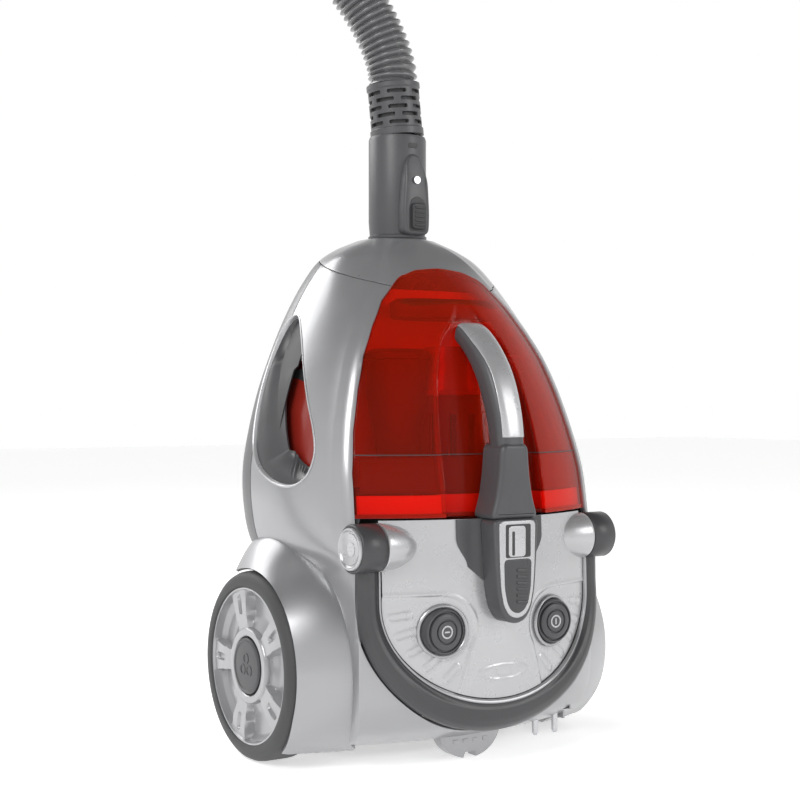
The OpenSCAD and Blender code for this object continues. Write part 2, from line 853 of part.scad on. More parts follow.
module screws() {
    color([0.6, 0.6, 0.62]) {
        for (x = [-60, 60], z = [192, 237]) facing_back(x, z) {
            translate([0, 0, 86]) cylinder(d = 7, h = 2.4);
            translate([0, 0, 74]) cylinder(d = 3.5, h = 12);
        }
        translate([0, inlet_y - 27.6, 440]) rotate([90, 0, 0]) cylinder(d = 6, h = 1.6);
    }
}

function unit(v) = v / norm(v);
function tangent(p, i) = unit(p[min(i + 1, len(p) - 1)] - p[max(i - 1, 0)]);

// Tube of radius r along points p, with n sides
module sweep(p, r, n) {
    side_0 = unit(cross(tangent(p, 0), [0.3, 0.9, 0.1]));
    sides = [for (i = 0, s = side_0; i < len(p); i = i + 1,
                  s = i < len(p) ? unit(s - tangent(p, i) * (s * tangent(p, i))) : s) s];
    skin([for (i = [0:len(p) - 1]) let (t = tangent(p, i), u = sides[i], v = cross(t, u))
        [for (k = [n - 1:-1:0]) p[i] + r * (u * cos(360 * k / n) + v * sin(360 * k / n))]]);
}

module hose_tube() { color([0.55, 0.55, 0.56]) sweep(HOSE, hose_d / 2, 12); }

// Things lying on the floor in line with the hose's end
module at_grip() {
    translate([-448.5, -159.5, 21.5]) rotate([0, 0, grip_angle]) rotate([0, 90, 0]) children();
}

module hand_grip() {
    color([0.36, 0.36, 0.37]) at_grip() difference() {
        union() {
            cylinder(d = 42, h = 34);
            translate([0, 0, 34]) cylinder(d1 = 40, d2 = 38, h = 100.3);
            translate([0, 0, 134.3]) cylinder(d1 = 38, d2 = 34, h = 46);
            translate([-21, -9, 60]) cube([10, 18, 44]);
        }
        translate([0, 0, -1]) cylinder(d = 30, h = 200);
        translate([-30, -5, 68]) cube([18, 10, 16]);
    }
}

module grip_slider() {
    color([0.75, 0.75, 0.76]) at_grip() translate([-23.4, -8, 64]) cube([2, 16, 22]);
}

front_housing();
rear_housing();
nose_cover();
control_panel();
button_bezels();
power_button();
rewind_button();
button_springs();
wheel_arches();
window_liners();
parking_foot();
rear_feet();
tyre_left();
rim_left();
hub_cap_left();
tyre_right();
rim_right();
hub_cap_right();
axles();
wheel_bushes();
caster_cup();
caster_fork();
caster_pin();
caster_wheel();
bail_handle();
bail_caps();
bail_pins();
dust_container();
bin_base();
mesh_filter();
cyclone_cone();
bin_seal();
container_handle();
handle_inlay();
latch_housing();
latch_bezel();
latch_button();
filter_housing();
hepa_filter();
motor_filter();
motor_case();
stator();
motor_bearings();
rotor();
cord_reel();
wound_cord();
reel_pin();
mains_plug();
plug_pins();
cord_lead();
cord_outlet();
power_switch();
screws();
inlet_elbow();
hose_connector();
connector_latch();
hose_collar();
hose_tube();
hand_grip();
grip_slider();
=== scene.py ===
from math import atan2, cos, exp, hypot, pi, radians, sin, sqrt
import bmesh
import bpy
from mathutils import Matrix, Vector


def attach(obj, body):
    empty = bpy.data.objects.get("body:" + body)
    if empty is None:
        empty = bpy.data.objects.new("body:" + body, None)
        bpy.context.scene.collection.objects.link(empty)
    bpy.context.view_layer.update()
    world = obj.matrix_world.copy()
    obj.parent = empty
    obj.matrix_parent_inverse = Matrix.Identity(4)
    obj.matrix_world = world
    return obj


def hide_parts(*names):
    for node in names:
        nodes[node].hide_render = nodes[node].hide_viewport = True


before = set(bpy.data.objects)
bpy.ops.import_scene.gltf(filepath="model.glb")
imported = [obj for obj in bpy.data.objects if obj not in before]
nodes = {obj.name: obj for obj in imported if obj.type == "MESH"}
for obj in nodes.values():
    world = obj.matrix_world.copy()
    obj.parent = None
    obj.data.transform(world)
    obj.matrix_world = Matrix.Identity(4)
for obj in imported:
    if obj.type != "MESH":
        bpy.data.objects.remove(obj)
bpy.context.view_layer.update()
mm = 0.001
print("stage: frame loaded")

# Camera
cameraSetup = {"place": (-0.6536, -0.9574, 0.267), "heading": 33, "lens": 67.5}
camera = bpy.data.objects.new("camera", bpy.data.cameras.new("camera"))
bpy.context.scene.collection.objects.link(camera)
camera.data.lens = cameraSetup["lens"]
camera.data.sensor_width = 36
camera.location = cameraSetup["place"]
camera.rotation_euler = (pi / 2, 0, -radians(cameraSetup["heading"]))
bpy.context.scene.camera = camera


# Small sums used by every shape
def clamp(value, low=0.0, high=1.0):
    return max(low, min(high, value))


def ease(low, high, value):
    t = clamp((value - low) / (high - low))
    return t * t * (3 - 2 * t)


def between(a, b, t):
    return a + (b - a) * t


def smoothRow(rows, z):
    # value of every column at height z, on a smooth curve through the rows
    last = len(rows) - 1
    i = 0
    while i < last - 1 and rows[i + 1][0] <= z:
        i += 1
    a, b = rows[i], rows[i + 1]
    span = b[0] - a[0]
    t = clamp((z - a[0]) / span)
    before, after = rows[max(i - 1, 0)], rows[min(i + 2, last)]
    result = []
    for p, q, r, s in zip(before[1:], a[1:], b[1:], after[1:]):
        m0 = (r - p) / (b[0] - before[0]) * span if i else r - q
        m1 = (s - q) / (after[0] - a[0]) * span if i + 2 <= last else r - q
        result.append((2 * t**3 - 3 * t**2 + 1) * q + (t**3 - 2 * t**2 + t) * m0
                      + (3 * t**2 - 2 * t**3) * r + (t**3 - t**2) * m1)
    return result


def sagCurve(points, step):
    # evenly spaced points on a smooth curve through the given ones
    dense = []
    last = len(points) - 1
    for i in range(last):
        p0, p1 = Vector(points[max(i - 1, 0)]), Vector(points[i])
        p2, p3 = Vector(points[i + 1]), Vector(points[min(i + 2, last)])
        for k in range(16):
            t = k / 16
            dense.append(0.5 * (2 * p1 + (p2 - p0) * t + (2 * p0 - 5 * p1 + 4 * p2 - p3) * t * t
                                + (3 * p1 - p0 - 3 * p2 + p3) * t**3))
    dense.append(Vector(points[-1]))
    lengths = [0.0]
    for a, b in zip(dense, dense[1:]):
        lengths.append(lengths[-1] + (b - a).length)
    count = max(2, round(lengths[-1] / step))
    even, j = [], 0
    for k in range(count + 1):
        want = lengths[-1] * k / count
        while j < len(lengths) - 2 and lengths[j + 1] < want:
            j += 1
        part = (want - lengths[j]) / max(lengths[j + 1] - lengths[j], 1e-9)
        even.append(dense[j].lerp(dense[j + 1], clamp(part)))
    return even, lengths[-1]


# Shader maths: a wire carries a value, and Python operators on wires add Math nodes
class Wire:
    def __init__(self, net, socket):
        self.net, self.socket = net, socket

    def sum(self, operation, other, swap=False):
        pair = (other, self) if swap else (self, other)
        return self.net.add("Math", {"operation": operation}, {0: pair[0], 1: pair[1]})

    def __add__(self, other):
        return self.sum("ADD", other)

    def __radd__(self, other):
        return self.sum("ADD", other, True)

    def __sub__(self, other):
        return self.sum("SUBTRACT", other)

    def __rsub__(self, other):
        return self.sum("SUBTRACT", other, True)

    def __mul__(self, other):
        return self.sum("MULTIPLY", other)

    def __rmul__(self, other):
        return self.sum("MULTIPLY", other, True)

    def __gt__(self, other):
        return self.sum("GREATER_THAN", other)


class Net:
    def __init__(self, name):
        self.material = bpy.data.materials.new(name)
        self.material.use_nodes = True
        self.tree = self.material.node_tree
        self.shader = self.tree.nodes["Principled BSDF"]
        self.place = self.add("TexCoord", {}, {}, "Object")

    def add(self, kind, settings, values, output=0):
        node = self.tree.nodes.new("ShaderNode" + kind)
        for key, setting in settings.items():
            if key == "stops":
                ramp = node.color_ramp.elements
                while len(ramp) < len(setting):
                    ramp.new(0.5)
                for stop, (position, color) in zip(ramp, setting):
                    stop.position, stop.color = position, color
            else:
                setattr(node, key, setting)
        for key, value in values.items():
            if isinstance(value, Wire):
                self.tree.links.new(value.socket, node.inputs[key])
            else:
                node.inputs[key].default_value = value
        return Wire(self, node.outputs[output])

    def set(self, **values):
        for key, value in values.items():
            name = "".join(" " + c if c.isupper() and i else c for i, c in enumerate(key))
            name = name.replace("I O R", "IOR")
            if isinstance(value, Wire):
                self.tree.links.new(value.socket, self.shader.inputs[name])
            else:
                self.shader.inputs[name].default_value = value
        return self

    def grain(self, scale, detail=2.0, stretch=(1, 1, 1)):
        place = self.add("Mapping", {}, {"Vector": self.place, "Scale": stretch})
        return self.add("TexNoise", {}, {"Vector": place, "Scale": scale, "Detail": detail}, 0)

    def tint(self, factor, first, second):
        return self.add("Mix", {"data_type": "RGBA"}, {0: factor, 6: (*first, 1), 7: (*second, 1)}, 2)

    def bump(self, height, strength, distance):
        return self.add("Bump", {}, {"Height": height, "Strength": strength, "Distance": distance * mm})


def paint(name, color, metal, rough, fleck=0.04, coat=0.35):
    # moulded shell with metallic paint: fine flecks, faint cloudiness and orange peel
    net = Net(name)
    cloud = net.grain(14, 3)
    flake = net.grain(2600, 1)
    light = [clamp(c * (1 + fleck)) for c in color]
    dark = [c * (1 - fleck) for c in color]
    net.set(BaseColor=net.tint(cloud * 0.35 + flake * 0.65, dark, light), Metallic=metal,
            Roughness=rough + (net.grain(60, 4) - 0.5) * 0.1, CoatWeight=coat, CoatRoughness=0.12,
            Normal=net.bump(net.grain(420, 2), 0.12, 0.15))
    return net.material


def plastic(name, color, rough, texture=0.25, scale=1500, coat=0.0, scuff=0.12):
    # spark-eroded mould texture with light scuffs
    net = Net(name)
    worn = (net.grain(90, 6, (1, 1, 0.12)) > 0.66) * scuff
    light = [clamp(c * 1.16 + 0.012) for c in color]
    net.set(BaseColor=net.tint(net.grain(25, 3) * 0.5 + worn, [c * 0.93 for c in color], light),
            Roughness=rough + (net.grain(45, 3) - 0.5) * 0.16 - worn * 0.3, CoatWeight=coat,
            Normal=net.bump(net.grain(scale, 2), texture, 0.12))
    return net.material


def turnedMetal(name, color, rough):
    net = Net(name)
    net.set(BaseColor=net.tint(net.grain(30, 3), [c * 0.88 for c in color], color), Metallic=1.0,
            Roughness=rough + (net.grain(900, 2, (6, 1, 1)) - 0.5) * 0.2,
            Normal=net.bump(net.grain(1400, 1, (8, 1, 1)), 0.1, 0.05))
    return net.material


def clearRed():
    # tinted see-through wall: light passes it as red, and its face still shines
    net = Net("clearRedWall")
    swirl = net.grain(18, 2)
    net.set(BaseColor=net.tint(swirl, (0.62, 0.035, 0.008), (0.78, 0.06, 0.015)),
            Roughness=0.07 + swirl * 0.05, CoatWeight=0.8, CoatRoughness=0.04, IOR=1.5)
    through = net.add("BsdfTransparent", {}, {"Color": (1.0, 0.24, 0.12, 1)})
    rim = net.add("LayerWeight", {}, {"Blend": 0.35}, 1)
    body = Wire(net, net.shader.outputs[0])
    mixed = net.add("MixShader", {}, {0: 0.09 + rim * 0.38, 1: through, 2: body})
    net.tree.links.new(mixed.socket, net.tree.nodes["Material Output"].inputs[0])
    return net.material


def pleats():
    net = Net("filterPaper")
    net.set(BaseColor=net.tint(net.grain(40, 3), (0.8, 0.79, 0.74), (0.93, 0.92, 0.88)), Roughness=0.95,
            Normal=net.bump(net.grain(700, 3), 0.4, 0.3))
    return net.material


finishes = {
    "silver": paint("silverPaint", (0.36, 0.36, 0.37), 0.62, 0.3),
    "panel": paint("panelPaint", (0.47, 0.47, 0.48), 0.5, 0.28),
    "rear": paint("rearPaint", (0.15, 0.15, 0.155), 0.4, 0.38, 0.03, 0.15),
    "rim": paint("rimPaint", (0.38, 0.38, 0.39), 0.5, 0.3),
    "charcoal": plastic("charcoalPlastic", (0.06, 0.06, 0.064), 0.38),
    "dark": plastic("darkPlastic", (0.028, 0.028, 0.03), 0.48),
    "bail": plastic("bailPlastic", (0.045, 0.045, 0.048), 0.34, 0.15),
    "tyre": plastic("tyreRubber", (0.05, 0.05, 0.052), 0.6, 0.5, 900),
    "rubber": plastic("sealRubber", (0.03, 0.03, 0.03), 0.7, 0.3),
    "hose": plastic("hosePlastic", (0.1, 0.1, 0.104), 0.2, 0.05, 800, 0.6, 0.05),
    "clearRed": clearRed(),
    "innerRed": plastic("innerRedPlastic", (0.25, 0.015, 0.008), 0.3, 0.1, 900, 0.3),
    "brightRed": plastic("brightRedPlastic", (0.8, 0.05, 0.008), 0.3, 0.1, 900, 0.4),
    "innerDark": plastic("innerDarkPlastic", (0.05, 0.022, 0.022), 0.45),
    "reel": plastic("reelPlastic", (0.6, 0.6, 0.57), 0.45),
    "steel": turnedMetal("turnedSteel", (0.6, 0.6, 0.62), 0.28),
    "winding": turnedMetal("lacqueredWinding", (0.5, 0.24, 0.1), 0.35),
    "paper": pleats(),
}
print("stage: materials")


# Turns a mesh drawn in millimetres into a finished piece
def facesOut(bm, centre):
    total = sum(f.normal.dot(f.calc_center_median() - Vector(centre)) * f.calc_area() for f in bm.faces)
    if total < 0:
        bmesh.ops.reverse_faces(bm, faces=bm.faces[:])


def makePiece(name, bm, body, finish, replaced=(), wall=0.0, edge=0.0, crease=38):
    bmesh.ops.scale(bm, vec=(mm, mm, mm), verts=bm.verts[:])
    mesh = bpy.data.meshes.new(name)
    bm.to_mesh(mesh)
    bm.free()
    piece = bpy.data.objects.new(name, mesh)
    bpy.context.scene.collection.objects.link(piece)
    if wall:
        shell = piece.modifiers.new("wall", "SOLIDIFY")
        shell.thickness, shell.offset, shell.use_even_offset = wall * mm, -1, True
    if edge:
        soft = piece.modifiers.new("edge", "BEVEL")
        soft.width, soft.segments, soft.limit_method = edge * mm, 2, "ANGLE"
        soft.angle_limit, soft.use_clamp_overlap = radians(42), True
    if wall or edge:
        bpy.context.view_layer.update()
        graph = bpy.context.evaluated_depsgraph_get()
        done = bpy.data.meshes.new_from_object(piece.evaluated_get(graph))
        piece.modifiers.clear()
        piece.data = done
    piece.data.materials.clear()
    piece.data.materials.append(finishes[finish])
    piece.data.polygons.foreach_set("use_smooth", [True] * len(piece.data.polygons))
    piece.data.set_sharp_from_angle(angle=radians(crease))
    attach(piece, body)
    if replaced:
        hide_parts(*replaced)
    return piece


def sheet(countU, countV, place):
    # a grid laid over a surface: place(u, v) with u and v from 0 to 1
    bm = bmesh.new()
    bmesh.ops.create_grid(bm, x_segments=countU, y_segments=countV, size=0.5)
    for v in bm.verts:
        v.co = Vector(place(v.co.x + 0.5, v.co.y + 0.5))
    bmesh.ops.remove_doubles(bm, verts=bm.verts[:], dist=1e-3)
    bmesh.ops.dissolve_degenerate(bm, edges=bm.edges[:], dist=1e-4)
    bm.normal_update()
    return bm


def cutAway(bm, keep):
    # removes the part where keep is negative, along a clean line
    value = {v: keep(v.co) for v in bm.verts}
    for e in bm.edges:
        a, b = e.verts
        if value[a] * value[b] < 0:
            t = value[a] / (value[a] - value[b])
            if t < 0.28:
                a.co, value[a] = a.co.lerp(b.co, t), 0.0
            elif t > 0.72:
                b.co, value[b] = a.co.lerp(b.co, t), 0.0
    for e in [e for e in bm.edges if value[e.verts[0]] * value[e.verts[1]] < 0]:
        a, b = e.verts
        fresh = bmesh.utils.edge_split(e, a, value[a] / (value[a] - value[b]))[1]
        value[fresh] = 0.0
    for f in bm.faces[:]:
        signs = [value[v] for v in f.verts]
        if min(signs) < 0 < max(signs):
            border = [v for v in f.verts if value[v] == 0.0]
            if len(border) >= 2:
                try:
                    bmesh.utils.face_split(f, border[0], border[-1])
                except ValueError:
                    pass
    gone = [f for f in bm.faces if sum(value[v] for v in f.verts) < 0]
    bmesh.ops.delete(bm, geom=gone, context="FACES")
    bmesh.ops.dissolve_degenerate(bm, edges=bm.edges[:], dist=0.02)


def spinShape(profile, steps=72, centre=(0, 0, 0), axis="X"):
    # profile is a closed list of (radius, place along the axis)
    bm = bmesh.new()
    verts = [bm.verts.new((r, 0, h)) for r, h in profile]
    edges = [bm.edges.new(pair) for pair in zip(verts, verts[1:] + verts[:1])]
    bmesh.ops.spin(bm, geom=verts + edges, cent=(0, 0, 0), axis=(0, 0, 1), angle=2 * pi, steps=steps,
                   use_merge=True)
    bmesh.ops.remove_doubles(bm, verts=bm.verts[:], dist=1e-3)
    bmesh.ops.recalc_face_normals(bm, faces=bm.faces[:])
    turns = {"X": Matrix(((0, 0, 1), (1, 0, 0), (0, 1, 0))),
             "Y": Matrix(((1, 0, 0), (0, 0, -1), (0, 1, 0))), "Z": Matrix.Identity(3)}
    bmesh.ops.transform(bm, matrix=turns[axis].to_4x4(), verts=bm.verts[:])
    bmesh.ops.translate(bm, vec=centre, verts=bm.verts[:])
    return bm


def join(target, extra):
    mesh = bpy.data.meshes.new("part")
    extra.to_mesh(mesh)
    extra.free()
    target.from_mesh(mesh)
    bpy.data.meshes.remove(mesh)
    return target


def mirrored(bm):
    # the same shape again on the other side, facing out
    twin = bm.copy()
    bmesh.ops.scale(twin, vec=(-1, 1, 1), verts=twin.verts[:])
    bmesh.ops.reverse_faces(twin, faces=twin.faces[:])
    return join(bm, twin)


def plate(points, y0, y1, edge=0.0, rounds=3):
    # flat shape given by its outline in x and z, from y0 in front to y1 behind
    bm = bmesh.new()
    face = bm.faces.new([bm.verts.new((x, y0, z)) for x, z in points])
    grown = bmesh.ops.extrude_face_region(bm, geom=[face])
    moved = [g for g in grown["geom"] if isinstance(g, bmesh.types.BMVert)]
    bmesh.ops.translate(bm, vec=(0, y1 - y0, 0), verts=moved)
    bmesh.ops.recalc_face_normals(bm, faces=bm.faces[:])
    if edge:
        rim = [e for e in bm.edges if e.calc_face_angle(0) > 1.2
               and max(abs(v.co.y - y0) for v in e.verts) < 0.01]
        bmesh.ops.bevel(bm, geom=rim, offset=edge, segments=rounds, profile=0.5, affect="EDGES",
                        material=-1)
    return bm


def rounded(points, radius, steps=5):
    # an outline with its corners turned into arcs
    result, count = [], len(points)
    for i, p in enumerate(points):
        p, a, b = Vector(p), Vector(points[i - 1]), Vector(points[(i + 1) % count])
        reach = min(radius, (a - p).length * 0.45, (b - p).length * 0.45)
        start, end = p + (a - p).normalized() * reach, p + (b - p).normalized() * reach
        for k in range(steps + 1):
            t = k / steps
            result.append((start * (1 - t) ** 2 + p * 2 * t * (1 - t) + end * t * t)[:])
    return result


def boxLine(x, z, wide, tall):
    # corners of an upright rectangle round a middle, from half its width and height
    return [(x - wide, z - tall), (x + wide, z - tall), (x + wide, z + tall), (x - wide, z + tall)]


def insideOutline(points, y, z):
    # signed distance to an outline, negative inside
    best, inside, count = 1e9, False, len(points)
    for i in range(count):
        (ax, az), (bx, bz) = points[i - 1], points[i]
        t = clamp(((y - ax) * (bx - ax) + (z - az) * (bz - az)) / ((bx - ax) ** 2 + (bz - az) ** 2))
        best = min(best, hypot(y - ax - t * (bx - ax), z - az - t * (bz - az)))
        if (az > z) != (bz > z) and y < (bx - ax) * (z - az) / (bz - az) + ax:
            inside = not inside
    return -best if inside else best


# Body form: height, front y, front corner x and y, widest x, rear y
bodyRows = [
    (10, -8, 76, 6, 92, 76), (16, -42, 92, -24, 104, 87), (27, -69, 99, -47, 108, 93),
    (40, -82, 103, -56, 109, 95), (55, -88, 105, -60, 110, 95), (100, -89, 106, -61, 110, 95),
    (142, -88, 107, -60, 111, 95), (160, -87, 108, -57, 124, 95), (185, -86, 109, -52, 130, 95),
    (215, -82, 108, -47, 131, 95), (245, -75, 103, -40, 126, 94), (275, -67, 95, -33, 118, 93),
    (300, -58, 86, -26, 109, 91), (322, -47, 74, -19, 100, 89), (342, -34, 60, -12, 90, 87),
    (360, -15, 44, -5, 79, 85), (376, 6, 34, 8, 66, 83), (386, 18, 26, 20, 50, 82),
    (394, 26, 16, 32, 30, 80),
]
bodySizes = {"wall": 3, "gap": 0.5, "seamY": 54, "wideY": 48, "top": 394, "bottom": 10, "pivotZ": 163,
             "pivotY": -63.5, "inletY": 53, "panelWide": 91, "panelTall": 70, "panelMid": 122,
             "bailWide": 108.5, "bailTall": 97, "eye": 35, "containerGap": 0.9}
containerEdge = [(183, 104.5), (215, 103.5), (245, 98.5), (275, 90.5), (300, 81.5), (322, 69.5),
                 (342, 56.4), (354, 44), (362.5, 30.5), (366.6, 16), (368, 0)]


def bodyPoint(s, z, inset=0.0):
    # s runs from 0 at the front middle to 1 at the back middle, negative on the left
    front, cornerX, cornerY, wide, back = smoothRow(bodyRows, z)
    q = abs(s)
    f, cx, w, b = front + inset, cornerX - inset, wide - inset, back - inset
    cy = max(cornerY, f + 0.5)
    mid = bodySizes["wideY"]
    if q < 0.34:
        t = q / 0.34
        x, y = cx * t, cy + (f - cy) * (1 - t * t)
    elif q < 0.62:
        t = (q - 0.34) / 0.28
        x = cx + (w - cx) * sin(pi / 2 * t**0.7)
        y = cy + (mid - cy) * (0.06 * min(1, t / 0.05) + 0.94 * t)
    else:
        t = (q - 0.62) / 0.38 * pi / 2
        reach = (cos(t) ** 4 + sin(t) ** 4) ** -0.25
        x, y = w * cos(t) * reach, mid + (b - mid) * sin(t) * reach
    return Vector((x if s >= 0 else -x, y, z))


def bodySheet(low, high, countAround, countUp, inset=0.0):
    def place(u, v):
        return bodyPoint(between(-1, 1, u), between(low, high, v), inset)
    return sheet(countAround, countUp, place)


def frontY(x, z):
    front, cornerX, cornerY = smoothRow(bodyRows, z)[:3]
    if abs(x) <= cornerX:
        return cornerY + (front - cornerY) * (1 - (x / cornerX) ** 2)
    return cornerY + 0.06 * (bodySizes["wideY"] - cornerY)


def sideX(y, z):
    # half width of the body at a point on its side
    front, cornerX, cornerY, wide, back = smoothRow(bodyRows, z)
    mid = bodySizes["wideY"]
    if y < mid:
        t = clamp(((y - cornerY) / (mid - cornerY) - 0.06) / 0.94)
        return cornerX + (wide - cornerX) * sin(pi / 2 * t**0.7)
    t = clamp((y - mid) / (back - mid), 0, 0.999)
    return wide * (1 - t**4) ** 0.25


def edgeHalf(z):
    # half width of the container's outline at height z
    previous = containerEdge[0]
    if z >= containerEdge[-1][0]:
        return 0.0
    for point in containerEdge[1:]:
        if z <= point[0]:
            t = clamp((z - previous[0]) / (point[0] - previous[0]))
            if point[0] > 360:
                t = 1 - sqrt(1 - t)
                t = t * 0.75 + 0.25 * (z - previous[0]) / (point[0] - previous[0])
            return between(previous[1], point[1], t)
        previous = point
    return 0.0


def noseLine(co):
    return cos(radians(17)) * (co.z - 372.5) - sin(radians(17)) * (co.y - bodySizes["inletY"])


def ellipseKeep(x, z, wide, tall):
    # positive inside a U shape: half an ellipse with straight sides above
    mid = bodySizes["panelMid"]
    if z >= mid:
        return wide - abs(x)
    return (1 - hypot(x / wide, (z - mid) / tall)) * tall


def smoothLoop(points, per):
    # closed smooth curve through the points
    result, count = [], len(points)
    for i in range(count):
        p0, p1, p2, p3 = [Vector(points[(i + k) % count]) for k in (-1, 0, 1, 2)]
        for k in range(per):
            t = k / per
            result.append((0.5 * (2 * p1 + (p2 - p0) * t + (2 * p0 - 5 * p1 + 4 * p2 - p3) * t * t
                                  + (3 * p1 - p0 - 3 * p2 + p3) * t**3))[:])
    return result


windowLoop = smoothLoop([(-20, 228), (-16.5, 213), (-5, 205), (10, 203.5), (28, 208), (45, 218), (56, 233),
                         (61, 252), (64, 276), (65, 300), (62, 320), (54, 331), (43, 331), (29, 316),
                         (13, 292), (-2, 267), (-14, 246)], 6)
windowSpine = ((12, 232), (46, 300))


def containerKeep(co, low, high):
    # positive outside the container's outline, for heights from low to high
    if co.y < 20 and low < co.z < high:
        return abs(co.x) - edgeHalf(co.z) - bodySizes["containerGap"]
    return 20.0


def windowKeep(co):
    if abs(co.x) < 60 or not (-24 < co.y < 70 and 199 < co.z < 336):
        return 20.0
    return insideOutline(windowLoop, co.y, co.z)


# Front shell: the silver body round the container, down to the belly
def frontShell():
    s = bodySizes
    bm = bodySheet(s["bottom"], s["top"], 300, 230)
    cutAway(bm, lambda c: s["seamY"] - s["gap"] / 2 - c.y)
    cutAway(bm, lambda c: -noseLine(c) - s["gap"] if c.z > 330 else 30.0)
    cutAway(bm, lambda c: containerKeep(c, 150, s["top"] + 1))
    wide, tall = s["bailWide"] + 0.3, s["bailTall"] + 0.3
    cutAway(bm, lambda c: max(-ellipseKeep(c.x, c.z, wide, tall), c.y + 59) if c.z < 185 else 30.0)
    cutAway(bm, windowKeep)
    cutAway(bm, lambda c: hypot(c.y - s["pivotY"], c.z - s["pivotZ"]) - s["eye"] / 2 - 1.2
            if abs(c.x) > 80 else 30.0)
    facesOut(bm, (0, 20, 200))
    makePiece("frontShell", bm, "root", "silver", ("front_housing",), s["wall"], 0.7)


rearSizes = {"casterZ": 318, "casterHole": 25.4, "grilleZ": 252, "slotPitch": 9, "slots": 7, "slotLong": 90,
             "slotTall": 4.4}


def rearShell():
    s, r = bodySizes, rearSizes
    bm = bodySheet(s["bottom"], s["top"], 300, 200)
    cutAway(bm, lambda c: c.y - s["seamY"] - s["gap"] / 2)
    cutAway(bm, lambda c: -noseLine(c) - s["gap"] if c.z > 330 else 30.0)
    cutAway(bm, lambda c: hypot(c.x, c.z - r["casterZ"]) - r["casterHole"] if c.y > 60 else 30.0)
    cutAway(bm, windowKeep)
    for k in range(r["slots"]):
        z = r["grilleZ"] + r["slotPitch"] * (k - (r["slots"] - 1) / 2)

        def slotKeep(co):
            if co.y <= 80:
                return 20.0
            return max(abs(co.x) - r["slotLong"] / 2, abs(co.z - z) - r["slotTall"] / 2)
        cutAway(bm, slotKeep)
    facesOut(bm, (0, 20, 200))
    makePiece("rearShell", bm, "root", "rear", ("rear_housing",), s["wall"], 0.7)


def noseShell():
    s = bodySizes
    bm = bodySheet(335, s["top"], 300, 90)
    rim = [e for e in bm.edges if e.is_boundary and e.verts[0].co.z > s["top"] - 0.1
           and e.verts[1].co.z > s["top"] - 0.1]
    grown = bmesh.ops.extrude_edge_only(bm, edges=rim)
    inner = [g for g in grown["geom"] if isinstance(g, bmesh.types.BMVert)]
    for v in inner:
        away = Vector((v.co.x, v.co.y - s["inletY"], 0)).normalized()
        v.co = Vector((away.x * 21, s["inletY"] + away.y * 21, s["top"] + 0.6))
    cutAway(bm, lambda c: noseLine(c))
    cutAway(bm, lambda c: containerKeep(c, 0, 368.8))
    facesOut(bm, (0, 40, 350))
    makePiece("noseShell", bm, "root", "silver", ("nose_cover",), s["wall"], 0.7)


# Floor of the bay and the dark liner seen behind gaps
def bayLiner():
    s = bodySizes
    bm = bodySheet(14, 366, 160, 120, 5.5)
    cutAway(bm, lambda c: 53 - c.y)
    cutAway(bm, lambda c: windowKeep(c) if c.y < 30 else 20.0)
    cutAway(bm, lambda c: containerKeep(c, 182, s["top"] + 1))
    cutAway(bm, lambda c: max(-ellipseKeep(c.x, c.z, 112, 100), c.y + 54) if c.z < 190 else 30.0)
    facesOut(bm, (0, 20, 200))
    makePiece("innerLiner", bm, "root", "dark", (), 1.0)


panelSizes = {"buttonX": 49, "buttonZ": 103, "lineZ": 131, "top": 181.9, "hole": 18.4, "field": 24.5,
              "rays": 5, "rayWide": 79.5, "rayTall": 58.5, "ovalZ": 71, "ovalWide": 20, "ovalTall": 5.2}


def panelRelief(x, z):
    # height over the smooth panel: sunk fields round the buttons, raised rays beside them and an oval
    p = panelSizes
    side = abs(x)
    away = hypot(side - p["buttonX"], z - p["buttonZ"])
    depth = -0.5 * (1 - ease(19.0, 23.0, away))
    lean = p["field"] + max(0, p["buttonZ"] - z) * 0.3
    wedge = min(side - (lean if z < p["buttonZ"] else p["buttonX"]), p["lineZ"] - 3 - z)
    field = max(p["field"] - away, wedge)
    depth -= 1.1 * ease(-0.9, 0.7, field) - 0.5 * exp(-(((field + 1.6) / 1.1) ** 2))
    for k in range(p["rays"]):
        a = radians(8 + 12.5 * k)
        cx, cz = p["rayWide"] * cos(a), bodySizes["panelMid"] - p["rayTall"] * sin(a)
        dx, dz = side - cx, z - cz
        tilt = radians(8 + 9 * k)
        along, across = dx * cos(tilt) - dz * sin(tilt), dx * sin(tilt) + dz * cos(tilt)
        ringAway = abs(hypot(max(abs(along) - 5.5, 0), across) - 2.6)
        depth += 0.75 * exp(-((ringAway / 0.75) ** 2)) * ease(p["lineZ"], p["lineZ"] - 3, z)
    oval = hypot(x / p["ovalWide"], (z - p["ovalZ"]) / p["ovalTall"])
    depth += 0.6 * exp(-((abs(oval - 1) * p["ovalTall"] / 0.7) ** 2))
    return depth + 0.35 * (1 - ease(0.32, 0.4, hypot(x / p["ovalWide"], (z - p["ovalZ"]) / 9)))


